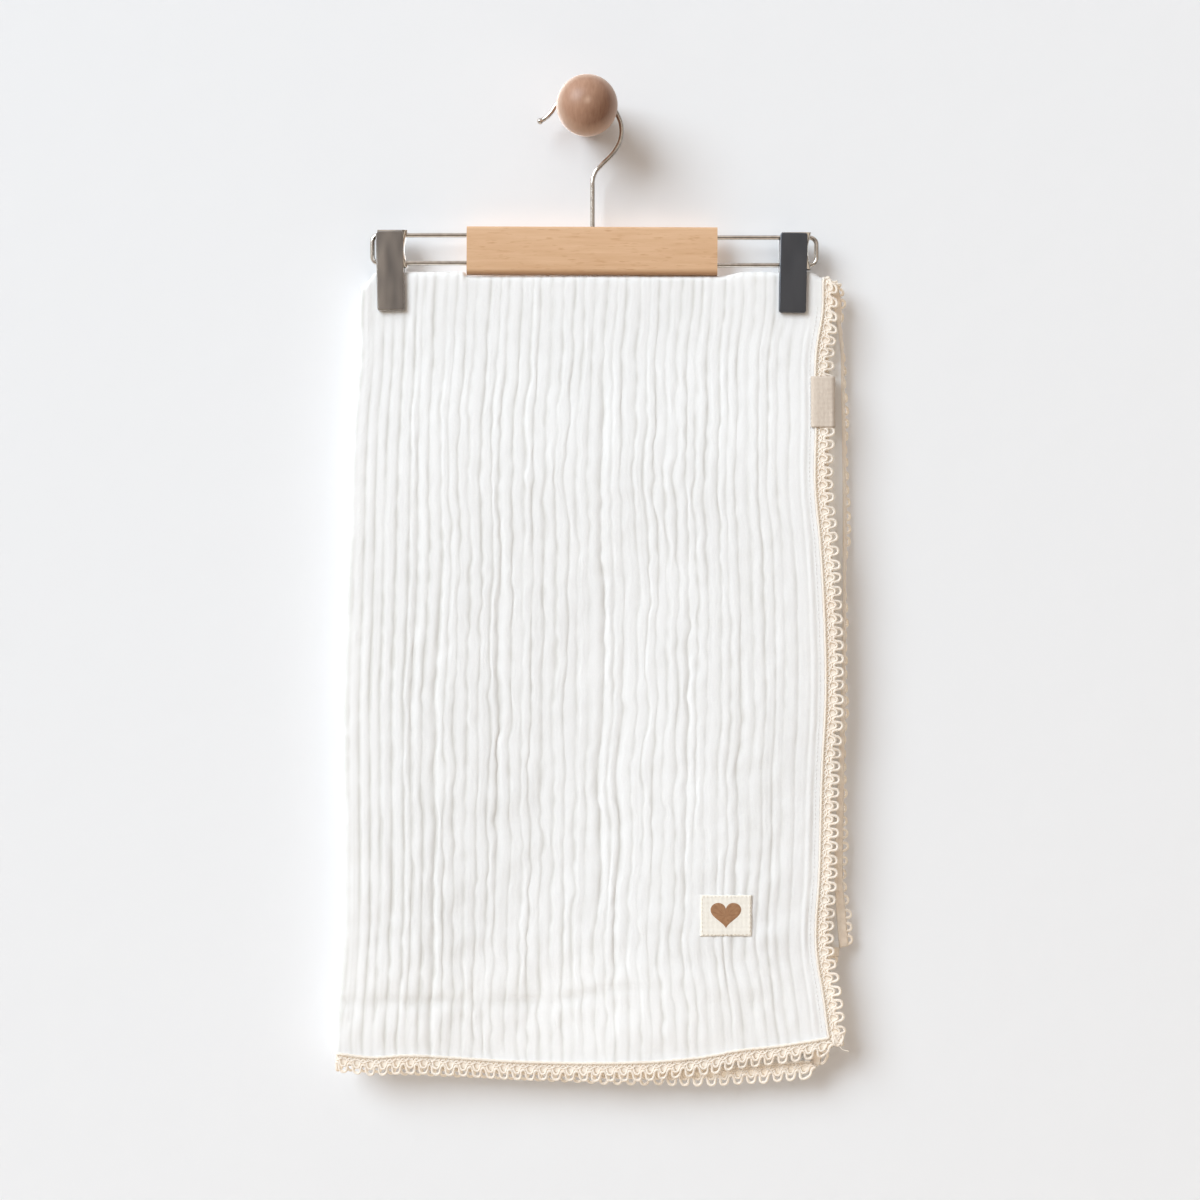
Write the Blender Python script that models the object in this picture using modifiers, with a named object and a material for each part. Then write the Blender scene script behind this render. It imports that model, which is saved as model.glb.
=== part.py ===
"""A swaddle blanket folded over a clip hanger, hanging on a turned wall peg.

Metres, +Z up. The origin is on the wall plane at the peg's axis, the wall is the plane y = 0 and everything stands
in front of it, at negative y. "Down" below means the distance under the peg's axis, so z is minus down.
"""

import math

import bmesh
import bpy
import numpy as np

# ---------------------------------------------------------------- driving dimensions

CLOTH_THICK = 0.0012  # two layers of gauze, crinkled
SEWN_GAP = 0.0003  # between a piece and what it is sewn to or seated on
LACE_GAP = 0.0005  # between a seam and its lace, which both bend
HANG_Y = -0.017  # plane of the hook, the bar and the fold

# The fold over the top: four layers, two on each side of HANG_Y.
LAYER_PITCH = 0.0021
INNER_BEND = LAYER_PITCH / 2
OUTER_BEND = INNER_BEND + LAYER_PITCH
CREST_TOP = OUTER_BEND + CLOTH_THICK / 2  # from the bend's axis up to the cloth's outer face
CROWN_DOWN = 0.1115  # top of the fold beside the bar
CROWN_UNDER_BAR = 0.1158
LEFT_DROOP = 0.0095  # both ends of the fold sag beyond the clips
RIGHT_DROOP = 0.0020
PRESSED_TO = 0.147  # the layers lie tight as far down as the jaws reach
LOOSE_FROM = 0.27  # and are fully apart from here on

# Half the pair's spread and the pair's middle, tight at the fold and loose lower down: front pair, back pair.
FRONT_PAIR = {"half": 0.00255, "middle": 0.00495}
BACK_PAIR = {"half": 0.00205, "middle": 0.00445}
STACK_LEAN = 0.0012  # the stack hangs this much nearer the wall at the hem

RIBS = 47  # crinkle ribs across one folded half
RIB_DEPTH = 0.0019
HEM_BAND = 0.0050  # flat hem beside the lace

# Front half, outer layer: the fold on the left and the seam on the right, at several heights.
FRONT_SHAPE = (  # down, left fold x, right seam x
    (0.111, -0.1560, 0.1650),
    (0.139, -0.1579, 0.1646),
    (0.167, -0.1576, 0.1602),
    (0.215, -0.1621, 0.1598),
    (0.264, -0.1645, 0.1592),
    (0.299, -0.1652, 0.1624),
    (0.341, -0.1666, 0.1650),
    (0.411, -0.1691, 0.1664),
    (0.459, -0.1690, 0.1640),
    (0.529, -0.1684, 0.1622),
    (0.585, -0.1694, 0.1600),
    (0.620, -0.1722, 0.1652),
    (0.647, -0.1748, 0.1686),
)
# Back half, outer layer: its seam, and how far past it in x the lace reaches as it leans to the wall.
BACK_SHAPE = (  # down, left fold x, right seam x, lace reach in x
    (0.111, -0.1560, 0.1650, 0.0130),
    (0.130, -0.1585, 0.1710, 0.0080),
    (0.158, -0.1600, 0.1770, 0.0038),
    (0.200, -0.1605, 0.1794, 0.0024),
    (0.313, -0.1610, 0.1809, 0.0021),
    (0.411, -0.1610, 0.1791, 0.0040),
    (0.467, -0.1605, 0.1777, 0.0056),
    (0.545, -0.1600, 0.1772, 0.0060),
    (0.566, -0.1600, 0.1815, 0.0034),
    (0.584, -0.1600, 0.1852, 0.0018),
)
INNER_SEAM_X = 0.1567  # right edge of both inner layers
FRONT_HEM = (  # across from the fold, down: outer layer
    (0.000, 0.6576),
    (0.069, 0.6600),
    (0.130, 0.6588),
    (0.231, 0.6604),
    (0.333, 0.6628),
    (0.535, 0.6642),
    (0.657, 0.6628),
    (0.738, 0.6600),
    (0.819, 0.6552),
    (0.900, 0.6523),
    (1.000, 0.6470),
)
INNER_HEM = ((0.00, 0.6576), (0.22, 0.6620), (0.55, 0.6666), (0.82, 0.6680), (1.00, 0.6640))  # across, down
BACK_HEM = ((0.00, 0.5800), (0.30, 0.5822), (0.70, 0.5812), (1.00, 0.5846))

# Soft troughs where ribs merge into one deep valley on the front: the rib, and the heights it runs between.
DEEP_VALLEYS = (  # rib, from down, to down, extra depth
    (4, 0.44, 0.56, 0.0012),
    (6, 0.25, 0.44, 0.0016),
    (9, 0.36, 0.67, 0.0022),
    (15, 0.30, 0.50, 0.0020),
    (20, 0.34, 0.46, 0.0010),
    (25, 0.22, 0.52, 0.0018),
    (27, 0.40, 0.60, 0.0014),
    (34, 0.36, 0.52, 0.0016),
    (39, 0.42, 0.56, 0.0012),
)
FRONT_ROWS = (0.0, 0.058, 0.11, 0.22, 0.37, 0.53, 0.69, 0.85, 0.985, 1.0)  # shares of the drop, mesh rows
BACK_ROWS = (0.0, 0.067, 0.13, 0.30, 0.51, 0.74, 0.98, 1.0)
BEND_STEPS = 4
FOLD_STEPS = 4
INNER_COLUMNS = 9
INNER_LACE_COLUMNS = 28  # the run between the layers is hidden, so its edge is left straight

LACE_TIP = 0.0132  # picot edging, from the seam to a loop's tip and to the notch between loops
LACE_NOTCH = 0.0092
LACE_PITCH = 0.0093
LACE_THICK = 0.0012
WALL_LEAN_Y = -0.0118  # the back seam's distance from the wall, and the leaning lace's width
WALL_LEAN_WIDTH = 0.0110

LABEL = {"left": 0.1560, "right": 0.1728, "top": 0.1848, "bottom": 0.2222, "back": 0.0070, "thick": 0.0008}
PATCH = {"left": 0.0786, "right": 0.1147, "top": 0.5460, "bottom": 0.5751, "thick": 0.0010}

BAR = {"left": -0.0841, "right": 0.0909, "top": 0.0790, "bottom": 0.1148, "depth": 0.0120, "edge": 0.0014}
WIRE_RADIUS = 0.0016
BORE_RADIUS = WIRE_RADIUS + SEWN_GAP
RAIL_SET = 0.030  # length of a wire inside the bar
RAILS = (  # name, bar end x, loop end x, upper down, lower down, corner radius
    ("rail_left", -0.0841, -0.1504, 0.0854, 0.1049, 0.0045),
    ("rail_right", 0.0909, 0.1605, 0.0871, 0.1064, 0.0050),
)
HOOK_SET = 0.025
HOOK_ROUTE = (  # x, z of the hook's middle line, from the ball tip over the peg's neck to the bar
    (-0.0337, -0.0058),
    (-0.0295, -0.0038),
    (-0.0256, 0.0001),
    (-0.0221, 0.0053),
    (-0.0180, 0.0097),
    (-0.0106, 0.0132),
    (0.0000, 0.0144),
    (0.0095, 0.0119),
    (0.0167, 0.0064),
    (0.0212, -0.0011),
    (0.0236, -0.0075),
    (0.0241, -0.0125),
    (0.0232, -0.0186),
    (0.0206, -0.0244),
    (0.0162, -0.0302),
    (0.0102, -0.0360),
    (0.0058, -0.0409),
    (0.0039, -0.0460),
    (0.0037, -0.0540),
    (0.0037, -0.0790),
)
HOOK_TIP = ((0.0, 0.35), (0.0007, 1.05), (0.0019, 1.35), (0.0031, 1.05), (0.0042, 0.95))  # along, radius factor

# Clips: a pressed jaw on each side of the cloth, and a folded spring between them that rides on the wires.
JAW = {"width": 0.0190, "height": 0.0571, "metal": 0.0009, "outer": 0.0075, "edge": 0.0013}
JAW_GAP = OUTER_BEND + CLOTH_THICK / 2 + SEWN_GAP  # from HANG_Y to a jaw's rim
SPRING = {"metal": 0.0008, "past": 0.0026, "above": 0.0032, "waist": 0.0014}
CLIPS = (  # name, rail name, x of the top's middle, down to the top, lean in degrees (foot towards +X)
    ("clip_left", "rail_left", -0.1374, 0.0833, 1.4),
    ("clip_right", "rail_right", 0.1443, 0.0847, -1.2),
)

PEG = {"ball": 0.0207, "centre": 0.0440, "neck": 0.0125, "foot_edge": 0.0006}

COLOURS = {  # base colour, roughness, metallic
    "muslin": ((0.86, 0.86, 0.85), 0.95, 0.0),
    "lace": ((0.80, 0.73, 0.62), 0.90, 0.0),
    "label": ((0.72, 0.62, 0.50), 0.85, 0.0),
    "patch": ((0.80, 0.70, 0.55), 0.85, 0.0),
    "beech": ((0.72, 0.46, 0.26), 0.55, 0.0),
    "peg": ((0.55, 0.33, 0.22), 0.50, 0.0),
    "wire": ((0.62, 0.60, 0.57), 0.25, 1.0),
    "jaw": ((0.33, 0.32, 0.31), 0.35, 1.0),
}


# ---------------------------------------------------------------- helpers


def smooth(table, column, at):
    """Reads a column of a table along a smooth curve through its rows, level past both ends."""
    places = np.array([row[0] for row in table])
    values = np.array([row[column] for row in table])
    slopes = np.gradient(values, places)
    at = np.clip(at, places[0], places[-1])
    low = np.clip(np.searchsorted(places, at) - 1, 0, len(places) - 2)
    span = places[low + 1] - places[low]
    t = (at - places[low]) / span
    return (
        (1 + 2 * t) * (1 - t) ** 2 * values[low]
        + t * (1 - t) ** 2 * span * slopes[low]
        + t**2 * (3 - 2 * t) * values[low + 1]
        - t**2 * (1 - t) * span * slopes[low + 1]
    )


def ease(value, low, high):
    """0 below low, 1 above high, and a soft rise between."""
    t = np.clip((value - low) / (high - low), 0, 1)
    return t * t * (3 - 2 * t)


def window(value, low, high, soft):
    """1 between low and high, fading to 0 over a soft margin outside them."""
    return ease(value, low - soft, low) * (1 - ease(value, high, high + soft))


def material(name):
    found = bpy.data.materials.get(name)
    if found:
        return found
    colour, roughness, metallic = COLOURS[name]
    made = bpy.data.materials.new(name)
    made.use_nodes = True
    shader = made.node_tree.nodes["Principled BSDF"]
    shader.inputs["Base Color"].default_value = (*colour, 1)
    shader.inputs["Roughness"].default_value = roughness
    shader.inputs["Metallic"].default_value = metallic
    made.diffuse_color = (*colour, 1)
    return made


def add_object(name, data, finish, collection):
    made = bpy.data.objects.new(name, data)
    data.materials.append(material(finish))
    collection.objects.link(made)
    return made


def mesh_from(bm, name, smooth_angle=None):
    bmesh.ops.recalc_face_normals(bm, faces=bm.faces)
    mesh = bpy.data.meshes.new(name)
    bm.to_mesh(mesh)
    bm.free()
    if smooth_angle is not None:
        mesh.shade_smooth()
        mesh.set_sharp_from_angle(angle=smooth_angle)
    return mesh


def grid_mesh(name, points):
    """An open sheet through a grid of points, an array of rows x columns x 3."""
    bm = bmesh.new()
    verts = [[bm.verts.new(point) for point in row] for row in points]
    for upper, lower in zip(verts, verts[1:]):
        for i in range(len(upper) - 1):
            bm.faces.new((upper[i], upper[i + 1], lower[i + 1], lower[i]))
    return mesh_from(bm, name, math.radians(50))


def thicken(piece, thickness, offset=0.0):
    solidify = piece.modifiers.new("Thickness", "SOLIDIFY")
    solidify.thickness = thickness
    solidify.offset = offset


def round_edges(piece, width, segments=2):
    bevel = piece.modifiers.new("Eased edges", "BEVEL")
    bevel.width = width
    bevel.segments = segments
    bevel.limit_method = "ANGLE"


def cut(piece, cutter):
    boolean = piece.modifiers.new("Cut by " + cutter.name, "BOOLEAN")
    boolean.operation = "DIFFERENCE"
    boolean.object = cutter


def box_mesh(name, low, high):
    bm = bmesh.new()
    bmesh.ops.create_cube(bm, size=1)
    low = np.array(low)
    high = np.array(high)
    for vert in bm.verts:
        vert.co = (low + high) / 2 + np.array(vert.co) * (high - low)
    return mesh_from(bm, name)


def bore_cutter(name, start, end, cutters):
    """A round cutter of the wires' bore size between two points on a line along X or Z."""
    start = np.array(start)
    end = np.array(end)
    bm = bmesh.new()
    bmesh.ops.create_cone(
        bm,
        cap_ends=True,
        segments=12,
        radius1=BORE_RADIUS,
        radius2=BORE_RADIUS,
        depth=float(np.abs(end - start).sum()),
    )
    made = bpy.data.objects.new(name, mesh_from(bm, name))
    made.location = (start + end) / 2
    if abs(end[0] - start[0]) > abs(end[2] - start[2]):
        made.rotation_euler = (0, math.pi / 2, 0)
    made.hide_render = True
    made.display_type = "WIRE"
    cutters.objects.link(made)
    return made


def wire(name, route, radii, finish, collection):
    """A round wire along a list of points, with a radius factor at each."""
    curve = bpy.data.curves.new(name, "CURVE")
    curve.dimensions = "3D"
    curve.bevel_depth = WIRE_RADIUS
    curve.bevel_resolution = 2
    curve.use_fill_caps = True
    spline = curve.splines.new("POLY")
    spline.points.add(len(route) - 1)
    for point, place, radius in zip(spline.points, route, radii):
        point.co = (*place, 1)
        point.radius = radius
    spline.use_smooth = True
    return add_object(name, curve, finish, collection)


# ---------------------------------------------------------------- the blanket's form


def rib_edges():
    """Where the valleys between ribs lie, as shares of the folded width: evenly spread, unevenly wide."""
    edges = [k + 0.20 * math.sin(1.7 * k) + 0.13 * math.sin(3.9 * k + 1) for k in range(RIBS + 1)]
    edges = np.array(edges)
    ribbed_share = 1 - HEM_BAND / (FRONT_SHAPE[0][2] - FRONT_SHAPE[0][1])
    return (edges - edges[0]) / (edges[-1] - edges[0]) * ribbed_share


RIB_EDGES = rib_edges()


def rib_at(across):
    """The rib's number at a share of the width: whole numbers are valleys. Past the last rib is the hem band."""
    return np.interp(across, RIB_EDGES, np.arange(RIBS + 1))


def crown(x):
    """How far down the top of the fold lies: up beside the bar, pressed down under it, drooping at both ends."""
    under_bar = window(x, BAR["left"] - 0.002, BAR["right"] + 0.002, 0.016)
    left_droop = LEFT_DROOP * ease(-x, 0.1480, 0.1565)
    right_droop = RIGHT_DROOP * ease(x, 0.1550, 0.1650)
    return CROWN_DOWN + (CROWN_UNDER_BAR - CROWN_DOWN) * under_bar + left_droop + right_droop


def under_jaws(x, down):
    """1 where a clip presses the cloth flat."""
    pressed = 0.0
    for _, _, middle, _, _ in CLIPS:
        beside = JAW["width"] / 2 + 0.002
        pressed = pressed + window(x, middle - beside, middle + beside + 0.001, 0.004)
    return pressed * (1 - ease(down, PRESSED_TO, PRESSED_TO + 0.012))


def meander(across, down):
    """Sideways wander of the ribs, nothing at the edges and little at the fold."""
    held = np.clip(5 * across * (1 - across), 0, 1) * (0.25 + 0.75 * ease(down, 0.13, 0.24))
    slow = 0.0022 * np.sin(2 * math.pi * (down / 0.21 + 2.1 * across))
    quick = 0.0010 * np.sin(2 * math.pi * (down / 0.097 - 3.7 * across + 0.3))
    return held * (slow + quick)


def rib_relief(across, x, down, hem_down):
    """How far the cloth's outer face stands out over its valleys."""
    rib = rib_at(across)
    crest = np.abs(np.sin(math.pi * rib))
    own = 1 + 0.28 * np.sin(2.4 * np.floor(rib)) + 0.22 * np.sin(2 * math.pi * down / 0.17 + 1.9 * np.floor(rib))
    free = 0.22 + 0.78 * ease(down, 0.13, 0.20)
    gathered = 0.35 + 0.65 * ease(hem_down - down, 0.002, 0.020)
    return RIB_DEPTH * crest * own * free * gathered * (1 - under_jaws(x, down))


def valley_depth(across, down):
    """Extra depth of the long valleys where ribs have merged."""
    rib = rib_at(across)
    depth = 0.0
    for number, top, bottom, extra in DEEP_VALLEYS:
        beside = np.clip(1 - np.abs(rib - number) / 0.9, 0, 1)
        depth = depth + extra * beside * window(down, top, bottom, 0.05)
    return depth


def stack_wave(across, down):
    """Long soft waves that all four layers share."""
    low = 0.0013 * np.sin(2 * math.pi * (1.6 * across + 0.15) + 5 * down)
    return low * ease(down, 0.20, 0.50)


def blanket_point(across, turn, run):
    """The cloth's middle surface.

    across: 0 at the left fold to 1 at the seam. turn: 1 on an outer layer, -1 on an inner one, between them round
    the left fold. run: -1 at the front hem, 0 to 1 over the top fold, 2 at the back hem.
    """
    across, turn, run = np.broadcast_arrays(*(np.asarray(v, float) for v in (across, turn, run)))
    angle = (1 - turn) * math.pi / 2
    outer = turn >= 0
    drop = np.clip(np.where(run < 0.5, -run, run - 1), 0, 1)
    bend = np.clip(run, 0, 1) * math.pi
    behind = run > 0.5

    left_top, right_top = FRONT_SHAPE[0][1:]
    rough_x = left_top + across * (np.where(outer, right_top, INNER_SEAM_X) - left_top)
    spring = crown(rough_x) + CREST_TOP
    front_hem = np.where(outer, smooth(FRONT_HEM, 1, across), smooth(INNER_HEM, 1, across))
    hem = np.where(behind, smooth(BACK_HEM, 1, across), front_hem)
    down = spring + drop * (hem - spring)

    loose = ease(down, PRESSED_TO, LOOSE_FROM)
    pair_half = np.where(behind, BACK_PAIR["half"], FRONT_PAIR["half"])
    pair_middle = np.where(behind, BACK_PAIR["middle"], FRONT_PAIR["middle"])
    half = LAYER_PITCH / 2 + loose * (pair_half - LAYER_PITCH / 2)
    middle = LAYER_PITCH + loose * (pair_middle - LAYER_PITCH)

    left = np.where(behind, smooth(BACK_SHAPE, 1, down), smooth(FRONT_SHAPE, 1, down))
    seam = np.where(behind, smooth(BACK_SHAPE, 2, down), smooth(FRONT_SHAPE, 2, down))
    seam = np.where(outer, seam, INNER_SEAM_X)
    x = left + half * (1 - np.sin(angle)) + across * (seam - left - half) + meander(across, down)

    reach = middle + half * np.cos(angle)
    relief = rib_relief(across, x, down, hem) * np.clip(np.cos(angle), 0, 1)
    relief = relief - np.where(behind, 0, valley_depth(across, down)) * np.clip(np.cos(angle), 0, 1)
    reach = reach + relief
    to_wall = np.where(behind, 1, -1)
    y = HANG_Y + STACK_LEAN * ease(down, 0.15, 0.60) + to_wall * reach + stack_wave(across, down)
    at_seam = ease(across, 0.93, 1.0) * ease(down, 0.13, 0.17)
    y = np.where(behind & outer, y + at_seam * (WALL_LEAN_Y - y), y)

    over_top = (run > 0) & (run < 1)
    y = np.where(over_top, HANG_Y - reach * np.cos(bend), y)
    z = np.where(over_top, -down + reach * np.sin(bend), -down)
    return np.stack([x, y, z], axis=-1)


def blanket_columns():
    """Share across and turn of each mesh column, from the outer seam round the left fold to the inner seam."""
    ribs = np.arange(2 * RIBS + 1)[::-1] / 2
    outer = np.concatenate([[1.0], np.interp(ribs, np.arange(RIBS + 1), RIB_EDGES)])
    fold = np.linspace(1, -1, FOLD_STEPS + 1)[1:-1]
    inner = np.linspace(0, 1, INNER_COLUMNS + 1)
    across = np.concatenate([outer, np.zeros(len(fold)), inner])
    turn = np.concatenate([np.ones(len(outer)), fold, -np.ones(len(inner))])
    return across, turn


def blanket_rows():
    front = -np.array(FRONT_ROWS[::-1])
    bend = np.linspace(0, 1, BEND_STEPS + 1)[1:-1]
    back = 1 + np.array(BACK_ROWS)
    return np.concatenate([front, bend, back])


def add_blanket(collection):
    across, turn = blanket_columns()
    points = blanket_point(across[None, :], turn[None, :], blanket_rows()[:, None])
    piece = add_object("blanket", grid_mesh("blanket", points), "muslin", collection)
    thicken(piece, CLOTH_THICK)


# ---------------------------------------------------------------- lace edging, label and patch


def resampled(values, lengths, at):
    return np.stack([np.interp(at, lengths, values[:, i]) for i in range(values.shape[1])], axis=1)


def lace_run(name, seam, outward, plain_steps, collection):
    """A scalloped strip along a seam. outward holds, at each seam point, the vector to a loop's tip."""
    steps = np.linalg.norm(np.diff(seam, axis=0), axis=1)
    lengths = np.concatenate([[0], np.cumsum(steps)])
    loops = round(lengths[-1] / LACE_PITCH)
    columns = plain_steps if plain_steps else 2 * loops
    at = np.linspace(0, lengths[-1], columns + 1)
    edge = resampled(seam, lengths, at)
    reach = resampled(outward, lengths, at)
    unit = reach / np.linalg.norm(reach, axis=1, keepdims=True)
    depth = np.full(columns + 1, 1.0)
    if not plain_steps:
        depth[::2] = LACE_NOTCH / LACE_TIP
    points = np.stack([edge + unit * LACE_GAP, edge + reach * depth[:, None]])
    piece = add_object(name, grid_mesh(name, points), "lace", collection)
    thicken(piece, LACE_THICK)


def across_seam(tangent):
    """The way out of a seam that runs downwards, in the x-z plane."""
    out = np.stack([-tangent[:, 2], np.zeros(len(tangent)), tangent[:, 0]], axis=1)
    return out / np.maximum(np.linalg.norm(out, axis=1, keepdims=True), 1e-9)


def mitre(outward, seam, corner, diagonal, aside):
    """Turns the last stretch before a corner onto the diagonal, and keeps it just off the other run."""
    near = 1 - ease(np.linalg.norm(seam - corner, axis=1), 0.0, 0.010)
    turned = outward * (1 - near[:, None]) + np.array(diagonal) * LACE_TIP * near[:, None]
    return turned, seam + np.array(aside) * SEWN_GAP * 0.7 * near[:, None]


DIAGONAL = np.array([1.0, 0.0, -1.0]) / math.sqrt(2) * 1.12
UP_ASIDE = np.array([1.0, 0.0, 1.0]) / math.sqrt(2)
PER_EDGE = 24  # samples of a seam for each edge of the blanket's mesh


def finer(values):
    """Values with more rows, evenly between each two."""
    rows = np.arange(len(values))
    at = np.linspace(0, len(values) - 1, (len(values) - 1) * PER_EDGE + 1)
    if values.ndim == 1:
        return np.interp(at, rows, values)
    return resampled(values, rows, at)


def side_run(name, turn, plain_steps, collection):
    """Lace down the front seam, over the top fold and down the back seam."""
    run = finer(blanket_rows())
    seam = finer(blanket_point(1.0, turn, blanket_rows()))
    tangent = np.gradient(seam, axis=0) * np.where(run < 0.5, -1, 1)[:, None]
    outward = across_seam(tangent) * LACE_TIP
    outward[(run > 0) & (run < 1)] = (LACE_TIP, 0, 0)
    if turn > 0:
        lean_x = smooth(BACK_SHAPE, 3, -seam[:, 2])
        lean_y = np.sqrt(np.maximum(WALL_LEAN_WIDTH**2 - lean_x**2, 0))
        leaning = np.stack([lean_x, lean_y, np.zeros(len(run))], axis=1)
        share = ease(run, 1.0, 1.06)[:, None]
        outward = outward * (1 - share) + leaning * share
        turning = ease(run, 0.6, 1.0)[:, None]
        seam = seam + turning * (LACE_THICK / 2 + SEWN_GAP, 0, 0)
    outward, seam = mitre(outward, seam, seam[0], DIAGONAL, UP_ASIDE)
    lace_run(name, seam, outward, plain_steps, collection)


def hem_run(name, run, collection):
    """Lace along a bottom hem: under the outer layer, round the left fold and under the inner layer."""
    seam = finer(blanket_point(*blanket_columns(), run))
    outward = np.zeros_like(seam)
    outward[:, 2] = -LACE_TIP
    if run < 0:
        outward, seam = mitre(outward, seam, seam[0], DIAGONAL, -UP_ASIDE)
        outward, seam = mitre(outward, seam, seam[-1], DIAGONAL, -UP_ASIDE)
    lace_run(name, seam, outward, 0, collection)


def seam_place(down):
    """The front seam's x and y at a height."""
    runs = np.linspace(-1, 0, 400)
    seam = blanket_point(1.0, 1, runs)
    return np.interp(down, -seam[::-1, 2], seam[::-1, 0]), np.interp(down, -seam[::-1, 2], seam[::-1, 1])


def add_side_label(collection):
    """A tape folded round the lace: its front leg lies over the hem, its back leg behind the lace."""
    rows = np.linspace(LABEL["top"], LABEL["bottom"], 4)
    _, seam_y = seam_place(rows)
    bend_radius = LACE_THICK / 2 + SEWN_GAP + LABEL["thick"] / 2
    turns = np.linspace(-math.pi / 2, math.pi / 2, 5)
    points = []
    for down, y in zip(rows, seam_y):
        bend = [(LABEL["right"] + bend_radius * math.cos(t), y + bend_radius * math.sin(t)) for t in turns]
        front = (LABEL["left"], y - bend_radius - 0.0002)
        back = (LABEL["right"] - LABEL["back"], y + bend_radius)
        points.append([(px, py, -down) for px, py in [front, *bend, back]])
    piece = add_object("side_label", grid_mesh("side_label", np.array(points)), "label", collection)
    thicken(piece, LABEL["thick"])


def add_corner_patch(collection):
    """A small woven square that lies on the crests of the ribs."""
    across_x = np.linspace(PATCH["left"], PATCH["right"], 5)
    downs = np.linspace(PATCH["top"], PATCH["bottom"], 4)
    finely = np.linspace(0, 1, 600)
    points = []
    for down in downs:
        run = -(down - CROWN_DOWN) / (smooth(FRONT_HEM, 1, 0.75) - CROWN_DOWN)
        front = blanket_point(finely, 1, run)
        crests = [front[np.abs(front[:, 0] - x) < 0.008, 1].min() for x in across_x]
        lift = CLOTH_THICK * 0.6 + SEWN_GAP + PATCH["thick"] / 2
        points.append([(x, crest - lift, -down) for x, crest in zip(across_x, crests)])
    piece = add_object("corner_patch", grid_mesh("corner_patch", np.array(points)), "patch", collection)
    thicken(piece, PATCH["thick"])


# ---------------------------------------------------------------- the hanger


def add_bar(collection, cutters):
    y_low = HANG_Y - BAR["depth"] / 2
    low = (BAR["left"], y_low, -BAR["bottom"])
    high = (BAR["right"], y_low + BAR["depth"], -BAR["top"])
    piece = add_object("hanger_bar", box_mesh("hanger_bar", low, high), "beech", collection)
    round_edges(piece, BAR["edge"])
    shank_x = HOOK_ROUTE[-1][0]
    past = 0.004
    floor = BAR["top"] + HOOK_SET + SEWN_GAP
    top = BAR["top"] - past
    cut(piece, bore_cutter("bore_hook", (shank_x, HANG_Y, -floor), (shank_x, HANG_Y, -top), cutters))
    for name, bar_end, loop_end, upper, lower, _ in RAILS:
        outwards = math.copysign(1, loop_end - bar_end)
        mouth = bar_end + outwards * past
        bottom = bar_end - outwards * (RAIL_SET + SEWN_GAP)
        for level, down in (("upper", upper), ("lower", lower)):
            cutter = bore_cutter(f"bore_{name}_{level}", (mouth, HANG_Y, -down), (bottom, HANG_Y, -down), cutters)
            cut(piece, cutter)


def add_rails(collection):
    """A wire loop at each end of the bar: out along the top, round two corners and back along the bottom."""
    for name, bar_end, loop_end, upper, lower, radius in RAILS:
        outwards = math.copysign(1, loop_end - bar_end)
        inside = bar_end - outwards * RAIL_SET
        route = [(inside, HANG_Y, -upper)]
        for corner_down, first in ((upper + radius, 90), (lower - radius, 0)):
            for step in range(6):
                angle = math.radians(first - step * 18)
                x = loop_end - outwards * radius * (1 - math.cos(angle))
                route.append((x, HANG_Y, -corner_down + radius * math.sin(angle)))
        route.append((inside, HANG_Y, -lower))
        wire(name, route, [1.0] * len(route), "wire", collection)


def add_hook(collection):
    """The hook's wire: a small ball at its tip, over the peg's neck, then down into the bar."""
    keys = np.array(HOOK_ROUTE)
    steps = np.linalg.norm(np.diff(keys, axis=0), axis=1)
    lengths = np.concatenate([[0], np.cumsum(steps)])
    table = [(s, x, z) for s, (x, z) in zip(lengths, keys)]
    body = np.arange(0.0075, lengths[-2], 0.0042)
    along = np.concatenate([[s for s, _ in HOOK_TIP], body, [lengths[-2], lengths[-1]]])
    radii = [r for _, r in HOOK_TIP] + [1.0] * (len(along) - len(HOOK_TIP))
    route = [(float(smooth(table, 1, s)), HANG_Y, float(smooth(table, 2, s))) for s in along]
    route.append((keys[-1][0], HANG_Y, -BAR["top"] - HOOK_SET))
    wire("hanger_hook", route, [*radii, 1.0], "wire", collection)


def add_jaw(name, side, parent, collection):
    """One pressed jaw: a shallow pan with its open side to the cloth. side is -1 in front and 1 behind."""
    outer_y = side * JAW["outer"]
    rim_y = side * JAW_GAP
    half = JAW["width"] / 2
    low = (-half, min(outer_y, rim_y), -JAW["height"])
    high = (half, max(outer_y, rim_y), 0)
    mesh = box_mesh(name, low, high)
    bm = bmesh.new()
    bm.from_mesh(mesh)
    open_side = [face for face in bm.faces if abs(face.calc_center_median().y - rim_y) < 1e-6]
    bmesh.ops.delete(bm, geom=open_side, context="FACES")
    edges = [edge for edge in bm.edges if not edge.is_boundary]
    bmesh.ops.bevel(bm, geom=edges, offset=JAW["edge"], segments=2, affect="EDGES", profile=0.5)
    bm.to_mesh(mesh)
    bm.free()
    piece = add_object(name, mesh, "jaw", collection)
    thicken(piece, JAW["metal"], -1.0)
    piece.parent = parent


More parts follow.
